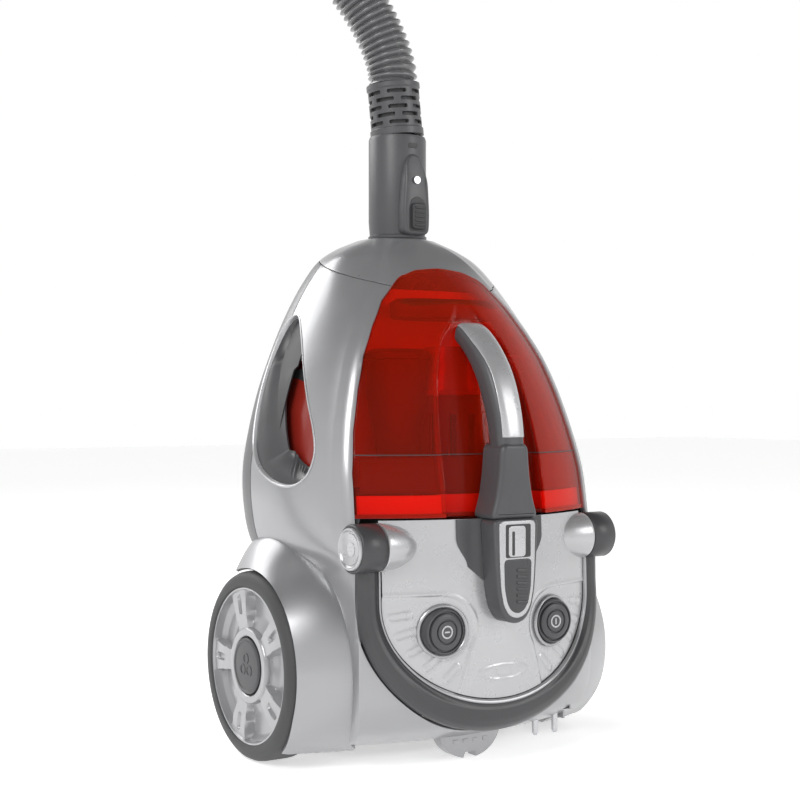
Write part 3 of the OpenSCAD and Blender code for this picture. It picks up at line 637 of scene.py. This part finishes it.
def controlPanel():
    s, p = bodySizes, panelSizes

    def place(u, v):
        x, z = between(-92.5, 92.5, u), between(50.5, p["top"], v)
        y = frontY(x, z)
        slope = (frontY(x + 0.5, z) - frontY(x - 0.5, z)) * -1
        tip = Vector((slope, -1, 0)).normalized()
        return Vector((x, y, z)) + tip * panelRelief(x, z)

    bm = sheet(240, 176, place)
    cutAway(bm, lambda c: ellipseKeep(c.x, c.z, s["panelWide"], s["panelTall"]))
    cutAway(bm, lambda c: hypot(abs(c.x) - p["buttonX"], c.z - p["buttonZ"]) - p["hole"])
    facesOut(bm, (0, 60, 120))
    makePiece("controlPanel", bm, "root", "panel", ("control_panel",), 2.6, 0.8)
    cone = [(0, 60), (6.5, 60), (10.5, 64), (13.6, 70), (15.6, 77), (16.8, 84), (17.4, 90.5), (17.4, 92.6),
            (0, 92.6)]
    cones = mirrored(spinShape(cone, centre=(0, s["pivotY"], s["pivotZ"])))
    makePiece("panelBosses", cones, "root", "panel", (), 0, 0.4)


def buttons():
    p = panelSizes
    rings = bmesh.new()
    for side in (-1, 1):
        def ringPlace(u, v):
            a, r = u * 2 * pi, between(16.7, 19.2, v)
            x, z = side * p["buttonX"] + r * cos(a), p["buttonZ"] + r * sin(a)
            return Vector((x, frontY(x, z) - 0.2 - 0.9 * sin(pi * v), z))

        ring = sheet(96, 6, ringPlace)
        facesOut(ring, (0, 60, p["buttonZ"]))
        join(rings, ring)
    makePiece("buttonRings", rings, "root", "rim", ("button_bezels",), 3.0)
    knob = [(0, 60), (16.3, 60), (16.3, 85.0), (15.5, 86.3), (14.7, 86.3), (14.3, 85.0), (13.3, 85.0),
            (12.9, 86.9), (12.0, 87.5), (9.0, 87.7), (8.6, 86.6), (7.8, 86.6), (7.4, 87.7), (0, 87.7)]
    for name, side, body, node in (("powerKnob", 1, "power_key", "power_button"),
                                   ("rewindKnob", -1, "rewind_key", "rewind_button")):
        middle = (side * p["buttonX"], 0, p["buttonZ"])
        bm = spinShape(knob, 72, middle, "Y")
        mark = spinShape([(3.6, 87.4), (4.7, 87.4), (4.7, 87.9), (3.6, 87.9)], 40, middle, "Y")
        bar = plate(rounded(boxLine(middle[0], middle[2], 0.55, 2.2), 0.45), -87.9, -87.4)
        if side < 0:
            bmesh.ops.rotate(bar, cent=middle, matrix=Matrix.Rotation(pi / 2, 3, "Y"), verts=bar.verts[:])
        join(mark, bar)
        makePiece(name, bm, body, "charcoal", (node,))
        makePiece(name + "Mark", mark, body, "panel")


# Carrying handle: a rounded band round the panel, from eye to eye
def bail():
    s = bodySizes
    straight, bend = 41.0, 150.0
    total = straight * 2 + bend

    def track(t, wide, tall):
        run = t * total
        if run < straight:
            return -wide, s["pivotZ"] - run
        if run > total - straight:
            return wide, s["pivotZ"] - (total - run)
        a = (run - straight) / bend * pi
        return -wide * cos(a), s["panelMid"] - tall * sin(a)

    # sections across the band: share of the half width, and height above it
    band = [(-1, -11), (-1, -1.2), (-0.93, 0.8), (-0.8, 1.3), (-0.72, 0.6), (-0.66, 0.7), (-0.45, 3.4),
            (0, 4.9), (0.45, 4.2), (0.8, 1.8), (0.96, -2.2), (1, -6), (0.96, -11)]
    line = [(-0.99, -0.6), (-0.96, 0.9), (-0.9, 1.7), (-0.83, 1.7), (-0.78, 1.0), (-0.8, -0.6)]

    def place(u, v, section):
        inX, inZ = track(u, s["panelWide"] + 0.9, s["panelTall"] + 0.9)
        outX, outZ = track(u, s["bailWide"], s["bailTall"])
        outY = between(-60.0, -76.5, ease(s["panelMid"] + 10, s["panelMid"] - 60, inZ))
        inner, outer = Vector((inX, frontY(inX, inZ) - 0.6, inZ)), Vector((outX, outY, outZ))
        across = (outer - inner).normalized()
        (backX, backZ), (aheadX, aheadZ) = track(max(u - 0.01, 0), 100, 83), track(min(u + 0.01, 1), 100, 83)
        along = Vector((aheadX - backX, 0, aheadZ - backZ)).normalized()
        out = along.cross(across).normalized()
        if out.y > 0:
            out = -out
        half = (outer - inner).length / 2
        middle = (inner + outer) / 2
        step = v * len(section)
        i = int(step) % len(section)
        a, b = section[i], section[(i + 1) % len(section)]
        t = step - int(step)
        wide, high = between(a[0], b[0], t), between(a[1], b[1], t)
        return middle + across * half * wide + out * high

    def closedBand(section, steps):
        bm = sheet(150, steps, lambda u, v: place(u, v, section))
        bmesh.ops.holes_fill(bm, edges=[e for e in bm.edges if e.is_boundary], sides=0)
        bmesh.ops.recalc_face_normals(bm, faces=bm.faces[:])
        return bm

    bm = closedBand(band, 39)
    makePiece("handleTrim", closedBand(line, 18), "bail", "rim")
    pivot = (0, s["pivotY"], s["pivotZ"])
    join(bm, mirrored(spinShape([(5.1, 93.6), (16.6, 93.6), (17.4, 94.4), (17.4, 113.0), (16.6, 113.9),
                                 (15.6, 113.9), (15.2, 113.0), (5.1, 113.0)], centre=pivot)))
    makePiece("carryHandle", bm, "bail", "bail", ("bail_handle",), 0, 0, crease=50)
    caps = mirrored(spinShape([(0, 112.9), (15.1, 112.9), (15.1, 115.0), (14.6, 115.7), (13.6, 115.7),
                               (12.9, 114.5), (11.9, 113.8), (11.3, 113.8), (10.9, 114.5), (6, 113.7),
                               (0, 113.5)], centre=pivot))
    makePiece("handleCaps", caps, "bail", "panel", ("bail_caps",))


# Clear container with a channel behind its handle
def container():
    channel = [(183, 45, 10), (237, 44, 10), (283, 38, 9), (300, 33, 9), (314, 27, 6.5), (331, 13, 2),
               (345, 8, 0), (400, 8, 0)]

    def place(u, v):
        z = between(183.4, 368, 1 - (1 - v) ** 1.6)
        half = edgeHalf(z)
        front, cornerX, cornerY, wide, back = smoothRow(bodyRows, z)
        s = between(-1.12, 1.12, u)
        side = 1 if s >= 0 else -1
        q = abs(s)
        c, depth = smoothRow(channel, z)
        flat = cornerX - 4.5
        if q <= 1:
            x = half * q
            y = cornerY - 0.5 + (front - 1 - cornerY + 0.5) * (1 - (x / max(flat, 1)) ** 2)
            y += depth * (1 - ease(c - 5, c, x))
        else:
            t = (q - 1) / 0.12
            edgeY = cornerY - 0.5 + (front - 0.5 - cornerY) * (1 - (half / max(flat, 1)) ** 2)
            x = half - 5 * t * t
            y = between(edgeY, max(edgeY + 2, 11.5), t)
        return Vector((side * x, y, z))

    bm = sheet(230, 110, place)
    facesOut(bm, (0, 30, 260))
    makePiece("clearContainer", bm, "container", "clearRed", ("dust_container",), 2.4, 0.5)
    # what shows through the wall: bright base, dark tray, cyclone drums and the plate above them
    def insideWall(low, high, inset):
        def spot(u, v):
            z = between(low, high, v)
            front, cornerX, cornerY, wide, back = smoothRow(bodyRows, z)
            flat = min(cornerX, edgeHalf(z) + 4.5) - 4.5 - inset
            x = flat * between(-1, 1, u)
            y = cornerY + inset + (front - cornerY) * (1 - (x / (cornerX - 4.5)) ** 2)
            c, depth = smoothRow(channel, z)
            return Vector((x, y + depth * (1 - ease(c - 4, c + 1, abs(x))), z))
        return sheet(120, 12, spot)

    rings = (("baseSkirt", 183.8, 199, 3.2, "red_plastic", "brightRed"),
             ("dustTray", 200.5, 226, 7.5, "dark_inside", "innerDark"))
    for name, low, high, inset, slot, finish in rings:
        ring = insideWall(low, high, inset)
        facesOut(ring, (0, 40, (low + high) / 2))
        makePiece(name, ring, "container", finish, (), 2.0, 0.3)
    plateLine = [(0, 328), (0.96, 328), (1, 329), (1, 340), (0.9, 343), (0, 343)]
    separator = spinShape(plateLine, 96, axis="Z")
    bmesh.ops.scale(separator, vec=(47, 22, 1), verts=separator.verts[:])
    bmesh.ops.translate(separator, vec=(0, -12, 0), verts=separator.verts[:])
    makePiece("separatorPlate", separator, "container", "innerDark")

    def backPlace(u, v):
        z = between(201, 352, v)
        return Vector((between(-0.94, 0.94, u) * edgeHalf(z), 9.5, z))

    back = sheet(60, 40, backPlace)
    facesOut(back, (0, 60, 260))
    makePiece("containerBack", back, "container", "brightRed", (), 1.2)
    drums = bmesh.new()
    for x in (-43, 43):
        join(drums, spinShape([(0, 206), (11.5, 206), (23, 268), (23, 297), (25, 298), (25, 302), (19, 305),
                               (0, 305)], 64, (x, -13, 0), "Z"))
    makePiece("cycloneDrums", drums, "container", "innerDark", ())

    def seamPlace(u, v):
        share = (between(227.3, 228.1, v) - 183.4) / 184.6
        return place(between(0.055, 0.945, u), 1 - (1 - share) ** (1 / 1.6)) + Vector((0, -0.18, 0))

    seam = sheet(200, 3, seamPlace)
    facesOut(seam, (0, 30, 228))
    makePiece("containerSeam", seam, "container", "innerDark", (), 0.3)


handleLine = {"outer": [(-44, 326), (-58, 319), (-74, 305), (-88, 286), (-97, 264), (-101.5, 243),
                        (-103.2, 220), (-103.8, 200), (-104, 187)],
              "inner": [(-41, 312), (-51, 303), (-62, 290), (-71, 275), (-77, 259), (-81, 243),
                        (-82.5, 222), (-83, 203), (-82, 187)]}


def handlePoint(t, angle, grow=0.0):
    last = len(handleLine["outer"]) - 1
    step = clamp(t, 0, 0.9999) * last
    rows = [(k, *o, *i) for k, (o, i) in enumerate(zip(handleLine["outer"], handleLine["inner"]))]
    oy, oz, iy, iz = smoothRow(rows, step)
    middle = Vector((0, (oy + iy) / 2, (oz + iz) / 2))
    out = Vector((0, oy - iy, oz - iz))
    thick = out.length / 2
    wide = 12.4 + 1.2 * ease(0.25, 0, t) - 1.4 * ease(0.35, 0.7, t) + 3.0 * ease(0.8, 1.0, t)
    c, s = cos(angle), sin(angle)
    reach = (abs(c) ** 3.2 + abs(s) ** 3.2) ** (-1 / 3.2)
    closing = sqrt(max(0.0, 1 - (1 - clamp(t / 0.05)) ** 2))
    return middle + out.normalized() * (thick + grow) * c * reach * (0.3 + 0.7 * closing) \
        + Vector((1, 0, 0)) * (wide + grow * 0.5) * s * reach * closing


def handle():
    bm = sheet(90, 56, lambda u, v: handlePoint(u, v * 2 * pi))
    bmesh.ops.holes_fill(bm, edges=[e for e in bm.edges if e.is_boundary], sides=0)
    bmesh.ops.recalc_face_normals(bm, faces=bm.faces[:])
    makePiece("containerHandle", bm, "container", "charcoal", ("container_handle",))
    inlay = sheet(110, 48, lambda u, v: handlePoint(between(0.012, 0.64, u), between(-0.98, 0.98, v), 0.7))

    def keep(co):
        return min(9.6 + 2.4 * ease(285, 318, co.z) - abs(co.x) - max(0, 236 - co.z) ** 2 * 0.06, 300)
    cutAway(inlay, keep)
    facesOut(inlay, (0, -50, 250))
    makePiece("handleInlay", inlay, "container", "panel", ("handle_inlay",), 1.2, 0.5)


def latch():
    def scoopEdge(c):
        if c.z > 148:
            return 30 + 8.2 * ease(148, 168, c.z) - abs(c.x)
        return min(30 - (148 - c.z) * 1.15 - abs(c.x), c.z - 138.5)

    def scoopPlace(u, v):
        x, z = between(-39, 39, u), between(138, 181.9, v)
        return Vector((x, frontY(x, z) - 1.7 + 1.3 * ease(17, 27, abs(x)) * ease(39, 27, abs(x)), z))

    scoop = sheet(110, 60, scoopPlace)
    cutAway(scoop, scoopEdge)
    facesOut(scoop, (0, 0, 160))
    makePiece("latchScoop", scoop, "root", "charcoal", (), 1.6, 0.4)
    hub = [(-21, 181.8), (-15.8, 198), (-13.2, 214), (-11.6, 236), (11.6, 236), (13.2, 214), (15.8, 198),
           (21, 181.8)]
    bm = plate(rounded(hub, 6), -103.6, -80, 3.6, 5)
    skirt = [(-20, 182), (-18.2, 150), (-16.8, 131), (-13.8, 117.5), (-8.4, 109.4), (0, 106.8), (8.4, 109.4),
             (13.8, 117.5), (16.8, 131), (18.2, 150), (20, 182)]
    join(bm, plate(rounded(skirt, 5), -104.4, -88, 2.2, 4))
    makePiece("latchHousing", bm, "container", "charcoal", ("latch_housing",), crease=35)
    frameLine = [(-16.2, 181), (-15.4, 150), (-14.2, 132), (-11.6, 120), (-7, 113.3), (0, 110.9), (7, 113.3),
                 (11.6, 120), (14.2, 132), (15.4, 150), (16.2, 181)]
    bezel = plate(rounded(frameLine, 5), -105.5, -103.8, 0.8)
    makePiece("latchBezel", bezel, "container", "panel", ("latch_bezel",))
    # dark plate laid over the bezel round the tongue: painted shade standing in for the opening the tongue
    # sits in
    window = plate(rounded(boxLine(0.3, 166.5, 11.1, 11.9), 1.6), -105.75, -105.0, 0.15)
    makePiece("latchOpeningShade", window, "container", "dark")
    bar = plate(rounded(boxLine(-0.9, 166.2, 7.5, 11), 3), -106.2, -105.4, 0.35)
    makePiece("latchTongue", bar, "container", "panel")
    # dark strip on the tongue: painted shade standing in for a slit
    slitShade = plate(rounded(boxLine(-4.4, 164.85, 1.2, 8.65), 1.1), -106.32, -105.9, 0.05)
    makePiece("latchSlitShade", slitShade, "container", "dark")
    key = plate(rounded([(-12.4, 153.6), (-11.8, 133), (-9.4, 122), (-5.6, 116.4), (0, 114.4), (5.6, 116.4),
                         (9.4, 122), (11.8, 133), (12.4, 153.6)], 4), -106.0, -99, 0.9)
    for k in range(6):
        z = 122 + 4.5 * k
        rib = [(-1.5, z), (8.6, z - 0.8), (8.6, z + 1.4), (-1.5, z + 2.2)]
        join(key, plate(rounded(rib, 1), -106.8, -105.4, 0.6, 2))
    makePiece("latchKey", key, "latch", "bail", ("latch_button",))


# Wheels
wheelSizes = {"outer": 145, "width": 30, "y": 36, "z": 70}


def wheelRelief(r, a):
    # height of the wheel's face below its outer plane
    part = 2 * pi / 5
    turn = (a - radians(17)) % part
    turn = min(turn, part - turn)
    across = r * sin(min(turn, pi / 2))
    half = between(7.5, 12, clamp((r - 27) / 28))
    spoke = 1 - ease(half - 0.8, half + 0.8, across)
    dish = -9.8 + 3.4 * ease(40, 28, r) + 3.0 * ease(50, 57, r)
    face = -3.0 + 0.8 * sin(clamp((r - 27) / 30) * pi)
    height = between(dish, face, spoke * ease(57, 55.8, r) * ease(26.5, 28, r))
    slotAway = hypot(max(abs(r - 46) - 5, 0), across)
    height -= 2.4 * (1 - ease(1.7, 2.5, slotAway))
    height = between(height, -1.4, ease(55.6, 56.6, r))
    height = between(height, -1.6, ease(28.4, 27.4, r) * ease(21.2, 22.2, r))
    return height - 1.6 * ease(21.9, 21.2, r)


def wheels():
    w = wheelSizes
    for side, word in ((-1, "left"), (1, "right")):
        body = "wheel_" + word

        def laid(bm):
            if side < 0:
                bmesh.ops.scale(bm, vec=(-1, 1, 1), verts=bm.verts[:])
                bmesh.ops.reverse_faces(bm, faces=bm.faces[:])
            return bm

        x1, x0, middle = w["outer"], w["outer"] - w["width"], (0, w["y"], w["z"])
        tyre = spinShape([(58, x0), (66, x0), (68.6, x0 + 0.9), (69.8, x0 + 3.5), (70, x0 + 6), (70, x1 - 9),
                          (69.6, x1 - 5.5), (68.2, x1 - 2.6), (66.2, x1 - 1.0), (63.5, x1 - 0.3), (60.5, x1),
                          (58.9, x1 - 0.3), (58.1, x1 - 1.4), (58, x1 - 3)], 128, middle)
        makePiece("tyre" + word.capitalize(), laid(tyre), body, "tyre", ("tyre_" + word,))

        def place(u, v):
            a, radius = u * 2 * pi, between(0.0, 57.8, v)
            return Vector((x1 + wheelRelief(radius, a), w["y"] + radius * sin(a), w["z"] + radius * cos(a)))

        disc = sheet(300, 92, place)
        facesOut(disc, (100, w["y"], w["z"]))
        makePiece("rim" + word.capitalize(), laid(disc), body, "rim", ("rim_" + word,), 3.0)
        cap = spinShape([(0, x1 - 4), (20.6, x1 - 4), (20.6, x1 - 1.3), (19.8, x1 - 0.6), (18.4, x1 - 0.4),
                         (17.8, x1 - 0.9), (12, x1 - 0.5), (0, x1 - 0.3)], 96, middle)
        for turn in range(3):
            a = turn * 2 * pi / 3
            petal = [(3.0, x1 - 0.5), (4.1, x1 - 0.5), (4.1, x1 - 0.05), (3.0, x1 - 0.05)]
            join(cap, spinShape(petal, 32, (0, w["y"] + 5.6 * sin(a), w["z"] + 5.6 * cos(a))))
        capName, replaced = "hubCap" + word.capitalize(), ("hub_cap_" + word,)
        makePiece(capName, laid(cap), body, "charcoal", replaced)


# Arches over the wheels
def arches():
    def place(u, v):
        a = radians(between(72, 232, u))
        outer = 90 + 4.5 * ease(radians(130), radians(90), a) - 8 * ease(radians(195), radians(232), a)
        shape = v * pi / 2
        r = between(72.2, outer, 1 - cos(shape))
        y, z = 36 + r * cos(a), 70 + r * sin(a)
        edgeY, edgeZ = 36 + outer * cos(a), 70 + outer * sin(a)
        inX = sideX(edgeY, clamp(edgeZ, 14, 390)) - 0.6
        x = between(inX, 141.6 - 3 * ease(radians(200), radians(232), a), cos(shape) ** 0.8 if v < 1 else 0)
        return Vector((x, y, max(z, 12)))

    bm = sheet(130, 36, place)
    facesOut(bm, (0, 36, 70))
    mirrored(bm)
    makePiece("wheelArches", bm, "root", "silver", ("wheel_arches",), 2.4, 0.6)


def windowEdge(u):
    # a point on the window's edge and the way into the window there
    count = len(windowLoop)
    step = u * count
    i = int(step) % count
    here = Vector(windowLoop[i]).lerp(Vector(windowLoop[(i + 1) % count]), step - int(step))
    flow = (Vector(windowLoop[(i + 2) % count]) - Vector(windowLoop[(i - 1) % count])).normalized()
    return here, Vector((-flow.y, flow.x))


def liners():
    def rimPlace(u, v):
        here, inward = windowEdge(u)
        spot = here + inward * between(-0.4, 2.6, v)
        return Vector((sideX(*here) + 0.15 + 0.7 * sin(pi * min(1, v * 1.3)) - 3.6 * v**3, *spot))

    def linerPlace(u, v):
        here, inward = windowEdge(u)
        low, high = Vector(windowSpine[0]), Vector(windowSpine[1])
        along = clamp((here - low).dot(high - low) / (high - low).length_squared)
        middle = low.lerp(high, along)
        back = ease(-0.35, 0.55, -inward.dot(Vector((0.85, -0.52))))
        spot = here.lerp(middle, between(0.02, 0.3 + 0.62 * back, v))
        return Vector((sideX(*here) - 2.2 - 8.5 * ease(0, 1, v) + 1.5 * back * sin(pi * v), *spot))

    inner = sheet(60, 60, lambda u, v: Vector((sideX(between(-20, 62, u), between(202, 333, v)) - 15,
                                               between(-20, 62, u), between(202, 333, v))))
    cutAway(inner, lambda c: -insideOutline(windowLoop, c.y, c.z) - 1.5)
    facesOut(inner, (0, 20, 260))
    makePiece("windowInner", mirrored(inner), "root", "innerRed", (), 1.0)
    rim = sheet(306, 8, rimPlace)
    facesOut(rim, (0, 20, 260))
    makePiece("windowRims", mirrored(rim), "root", "panel", (), 1.2)
    bm = sheet(204, 14, linerPlace)
    facesOut(bm, (0, 20, 260))
    makePiece("windowLiners", mirrored(bm), "root", "bail", ("window_liners",), 1.4)


def foot():
    half = [(28 * cos(radians(180 + a)), 24 + 24.0 * sin(radians(180 + a))) for a in range(0, 181, 6)]
    left = [p for p in half if p[0] < -4.2]
    right = [p for p in half if p[0] > 4.2]
    outline = left + [(-4.2, 4.5), (4.2, 4.5)] + right + [(26, 36), (-26, 36)]
    bm = plate([(x, max(z, 0.2)) for x, z in outline], -47.5, -36.5, 1.4)
    for k in range(4):
        join(bm, plate(rounded(boxLine(-13.5 + 9 * k, 13.5, 2.6, 1.5), 1.2), -47.9, -47.2, 0.3))
    makePiece("parkingFoot", bm, "root", "silver", ("parking_foot",))


# Connector, its latch and the collar
def connector():
    y = bodySizes["inletY"]
    tube = [(16, 369), (18.8, 369), (18.8, 394.8), (23.2, 394.8), (23.4, 395.4), (23.4, 397.2), (22.2, 398),
            (22.2, 399), (22.6, 404), (23, 409), (23, 474.5), (22.2, 476.8), (16, 476.8)]
    bm = spinShape(tube, 96, (0, y, 0), "Z")
    lug = rounded([(-11.5, 397), (11.5, 397), (12.2, 414), (10.8, 438), (8.4, 454), (4, 461.5), (-4, 461.5),
                   (-8.4, 454), (-10.8, 438), (-12.2, 414)], 6)
    raised = plate(lug, y - 29.5, y - 19, 2.6)
    for v in raised.verts:
        if v.co.y < y - 24:
            v.co.y += 5.5 * ease(436, 464, v.co.z)
    join(bm, raised)
    makePiece("hoseConnector", bm, "root", "charcoal", ("hose_connector",))
    # dark plates on the lug round the latch key and on the tube below the collar: painted shade standing in
    # for the pocket the key sits in and for a small recess
    arch = [(-8, 399.6), (8, 399.6), (8, 418), (5.8, 424.6), (0, 427.4), (-5.8, 424.6), (-8, 418)]
    pocketShade = plate(rounded(arch, 3), y - 29.75, y - 28.8, 0.2)
    join(pocketShade, plate(rounded(boxLine(0, 468, 4, 2), 1), y - 23.2, y - 21, 0.1))
    makePiece("latchPocketShade", pocketShade, "root", "dark")
    key = plate(rounded(boxLine(0, 411.2, 6.3, 10.2), 3), y - 33.4, y - 29.2, 1.2)
    for k in range(5):
        rib = rounded(boxLine(0, 404.05 + 3.4 * k, 4.8, 0.85), 0.8)
        join(key, plate(rib, y - 34.3, y - 33, 0.5, 2))
    makePiece("connectorLatch", key, "hose_latch", "dark", ("connector_latch",))


collarSizes = {"tilt": 5, "turn": 26, "radius": 21.4, "start": 477.8, "height": 41.4}


def collarPlace(co):
    c = collarSizes
    turn = Matrix.Rotation(radians(-c["turn"]), 3, "Z") @ Matrix.Rotation(radians(-c["tilt"]), 3, "Y")
    return turn @ co + Vector((0, bodySizes["inletY"], c["start"]))


def collar():
    c = collarSizes

    def place(u, v):
        a = u * 2 * pi
        z = v * c["height"]
        ridge = 0.9 * (1 - ease(5.2, 6, z)) + 0.9 * ease(37, 37.8, z)
        return Vector(((c["radius"] - 0.9 + ridge) * cos(a), (c["radius"] - 0.9 + ridge) * sin(a), z))

    bm = sheet(216, 110, place)
    for row in range(5):
        zc = 9.4 + 6.1 * row

        def keep(co):
            a = atan2(co.y, co.x) + (pi / 6 if row % 2 else 0)
            part = pi / 3
            off = (a % part) - part / 2
            return hypot(max(abs(off) * 20.5 - 6.8, 0), max(abs(co.z - zc) - 0.4, 0)) - 1.15
        cutAway(bm, keep)
    bm.normal_update()
    facesOut(bm, (0, 0, 20))
    for v in bm.verts:
        v.co = collarPlace(v.co)
    makePiece("hoseCollar", bm, "root", "charcoal", ("hose_collar",), 2.6, 0.4)
    sleeve = spinShape([(16.2, 0.5), (17.6, 0.5), (17.6, 39), (16.2, 39)], 60, (0, 0, 0), "Z")
    for v in sleeve.verts:
        v.co = collarPlace(v.co)
    makePiece("collarSleeve", sleeve, "root", "dark")


# Hose: its route lies up, over to the left rear and down to the floor
hoseRoute = [
    (-3.2, 54.6, 519.6), (-4.3, 55.1, 533), (-10, 58, 553), (-22, 64, 579), (-43, 74, 610), (-71, 87, 638),
    (-106, 103, 661), (-146, 120, 675), (-188, 138, 678), (-228, 155, 669), (-264, 171, 650),
    (-294, 184, 621), (-316, 194, 583), (-329, 200, 538), (-336, 204, 488), (-339, 206, 435),
    (-340, 207, 380), (-340, 207, 325), (-340, 207, 270), (-340, 205, 215), (-341, 199, 165),
    (-344, 184, 119), (-350, 158, 78), (-360, 122, 46), (-374, 78, 26), (-390, 30, 21), (-409, -28, 21),
    (-428, -90, 21), (-448, -158, 21),
]
hoseSizes = {"radius": 19.9, "valley": 3.0, "pitch": 5.6, "rings": 6, "around": 28}


def hose():
    h = hoseSizes
    path, length = sagCurve(hoseRoute, h["pitch"] / h["rings"])
    last = len(path) - 1
    flows = [(path[min(i + 1, last)] - path[max(i - 1, 0)]).normalized() for i in range(last + 1)]
    side = flows[0].cross(Vector((0.3, 0.9, 0.1))).normalized()
    frames = []
    for flow in flows:
        side = (side - flow * side.dot(flow)).normalized()
        frames.append((side, flow.cross(side)))

    def place(u, v):
        i = round(v * last)
        first, second = frames[i]
        a = u * 2 * pi
        wave = 0.5 + 0.5 * cos(2 * pi * i / h["rings"])
        radius = h["radius"] - h["valley"] * (1 - wave**0.7)
        return path[i] + (first * cos(a) + second * sin(a)) * radius

    bm = sheet(h["around"], last, place)
    bmesh.ops.holes_fill(bm, edges=[e for e in bm.edges if e.is_boundary], sides=0)
    bmesh.ops.recalc_face_normals(bm, faces=bm.faces[:])
    piece = makePiece("hose", bm, "root", "hose", ("hose_tube",), crease=70)
    print("hose length", round(length * mm, 3))
    round(length * mm, 2)
    [p * mm for p in path[::3]]


for build in (connector, collar, hose, frontShell, rearShell, noseShell, bayLiner, controlPanel, buttons,
              bail, container, handle, latch, wheels, arches, liners, foot):
    build()
    print("stage:", build.__name__)

# CAD pieces whose shape is right keep it and get a finish
cadFinish = {
    "steel": ["button_springs", "axles", "caster_pin", "bail_pins", "motor_bearings", "reel_pin",
              "plug_pins", "screws"],
    "dark": ["wheel_bushes", "caster_cup", "filter_housing", "motor_case", "mains_plug", "power_switch",
             "inlet_elbow"],
    "charcoal": ["caster_fork", "hand_grip"],
    "tyre": ["caster_wheel"],
    "rubber": ["rear_feet", "bin_seal", "wound_cord", "cord_lead"],
    "innerRed": ["bin_base", "cyclone_cone"],
    "innerDark": ["mesh_filter"],
    "paper": ["hepa_filter", "motor_filter"],
    "winding": ["stator", "rotor"],
    "reel": ["cord_reel"],
    "silver": ["cord_outlet"],
    "panel": ["grip_slider"],
}
for finish, names in cadFinish.items():
    for name in names:
        nodes[name].data.materials.clear()
        nodes[name].data.materials.append(finishes[finish])
print("stage: CAD finishes")

# Floor, lights and world
floorNet = Net("paleFloor")
floorTint = floorNet.tint(floorNet.grain(6, 2), (0.9, 0.9, 0.9), (0.93, 0.93, 0.93))
floorNet.set(BaseColor=floorTint, Roughness=0.6, EmissionColor=(1, 1, 1, 1), EmissionStrength=0.55)
bpy.ops.mesh.primitive_plane_add(size=14)
floor = bpy.context.object
floor.name = "floor"
floor.data.materials.append(floorNet.material)

# place, size and power of each lamp
lamps = {"key": ((-1.9, -1.0, 1.7), 1.0, 27), "fill": ((1.3, -2.0, 1.2), 1.0, 12),
         "back": ((-0.8, 1.7, 1.6), 1.4, 22)}
for name, (place, size, power) in lamps.items():
    light = bpy.data.lights.new(name, "AREA")
    light.size, light.energy = size, power
    lamp = bpy.data.objects.new(name, light)
    lamp.location = place
    lamp.rotation_euler = (Vector((0, 0, 0.22)) - Vector(place)).to_track_quat("-Z", "Y").to_euler()
    bpy.context.scene.collection.objects.link(lamp)
world = bpy.data.worlds.new("softRoom")
world.use_nodes = True
# the sky is bright near the horizon and dim above
sky = world.node_tree
direction = sky.nodes.new("ShaderNodeTexCoord")
height = sky.nodes.new("ShaderNodeSeparateXYZ")
fade = sky.nodes.new("ShaderNodeMapRange")
for key, value in {1: 0.3, 2: 0.75, 3: 1.0, 4: 0.12}.items():
    fade.inputs[key].default_value = value
sky.links.new(direction.outputs["Generated"], height.inputs[0])
sky.links.new(height.outputs[2], fade.inputs[0])
sky.links.new(fade.outputs[0], sky.nodes["Background"].inputs[0])
sky.nodes["Background"].inputs[1].default_value = 1.0
bpy.context.scene.world = world
bpy.context.scene.view_settings.view_transform = "Standard"
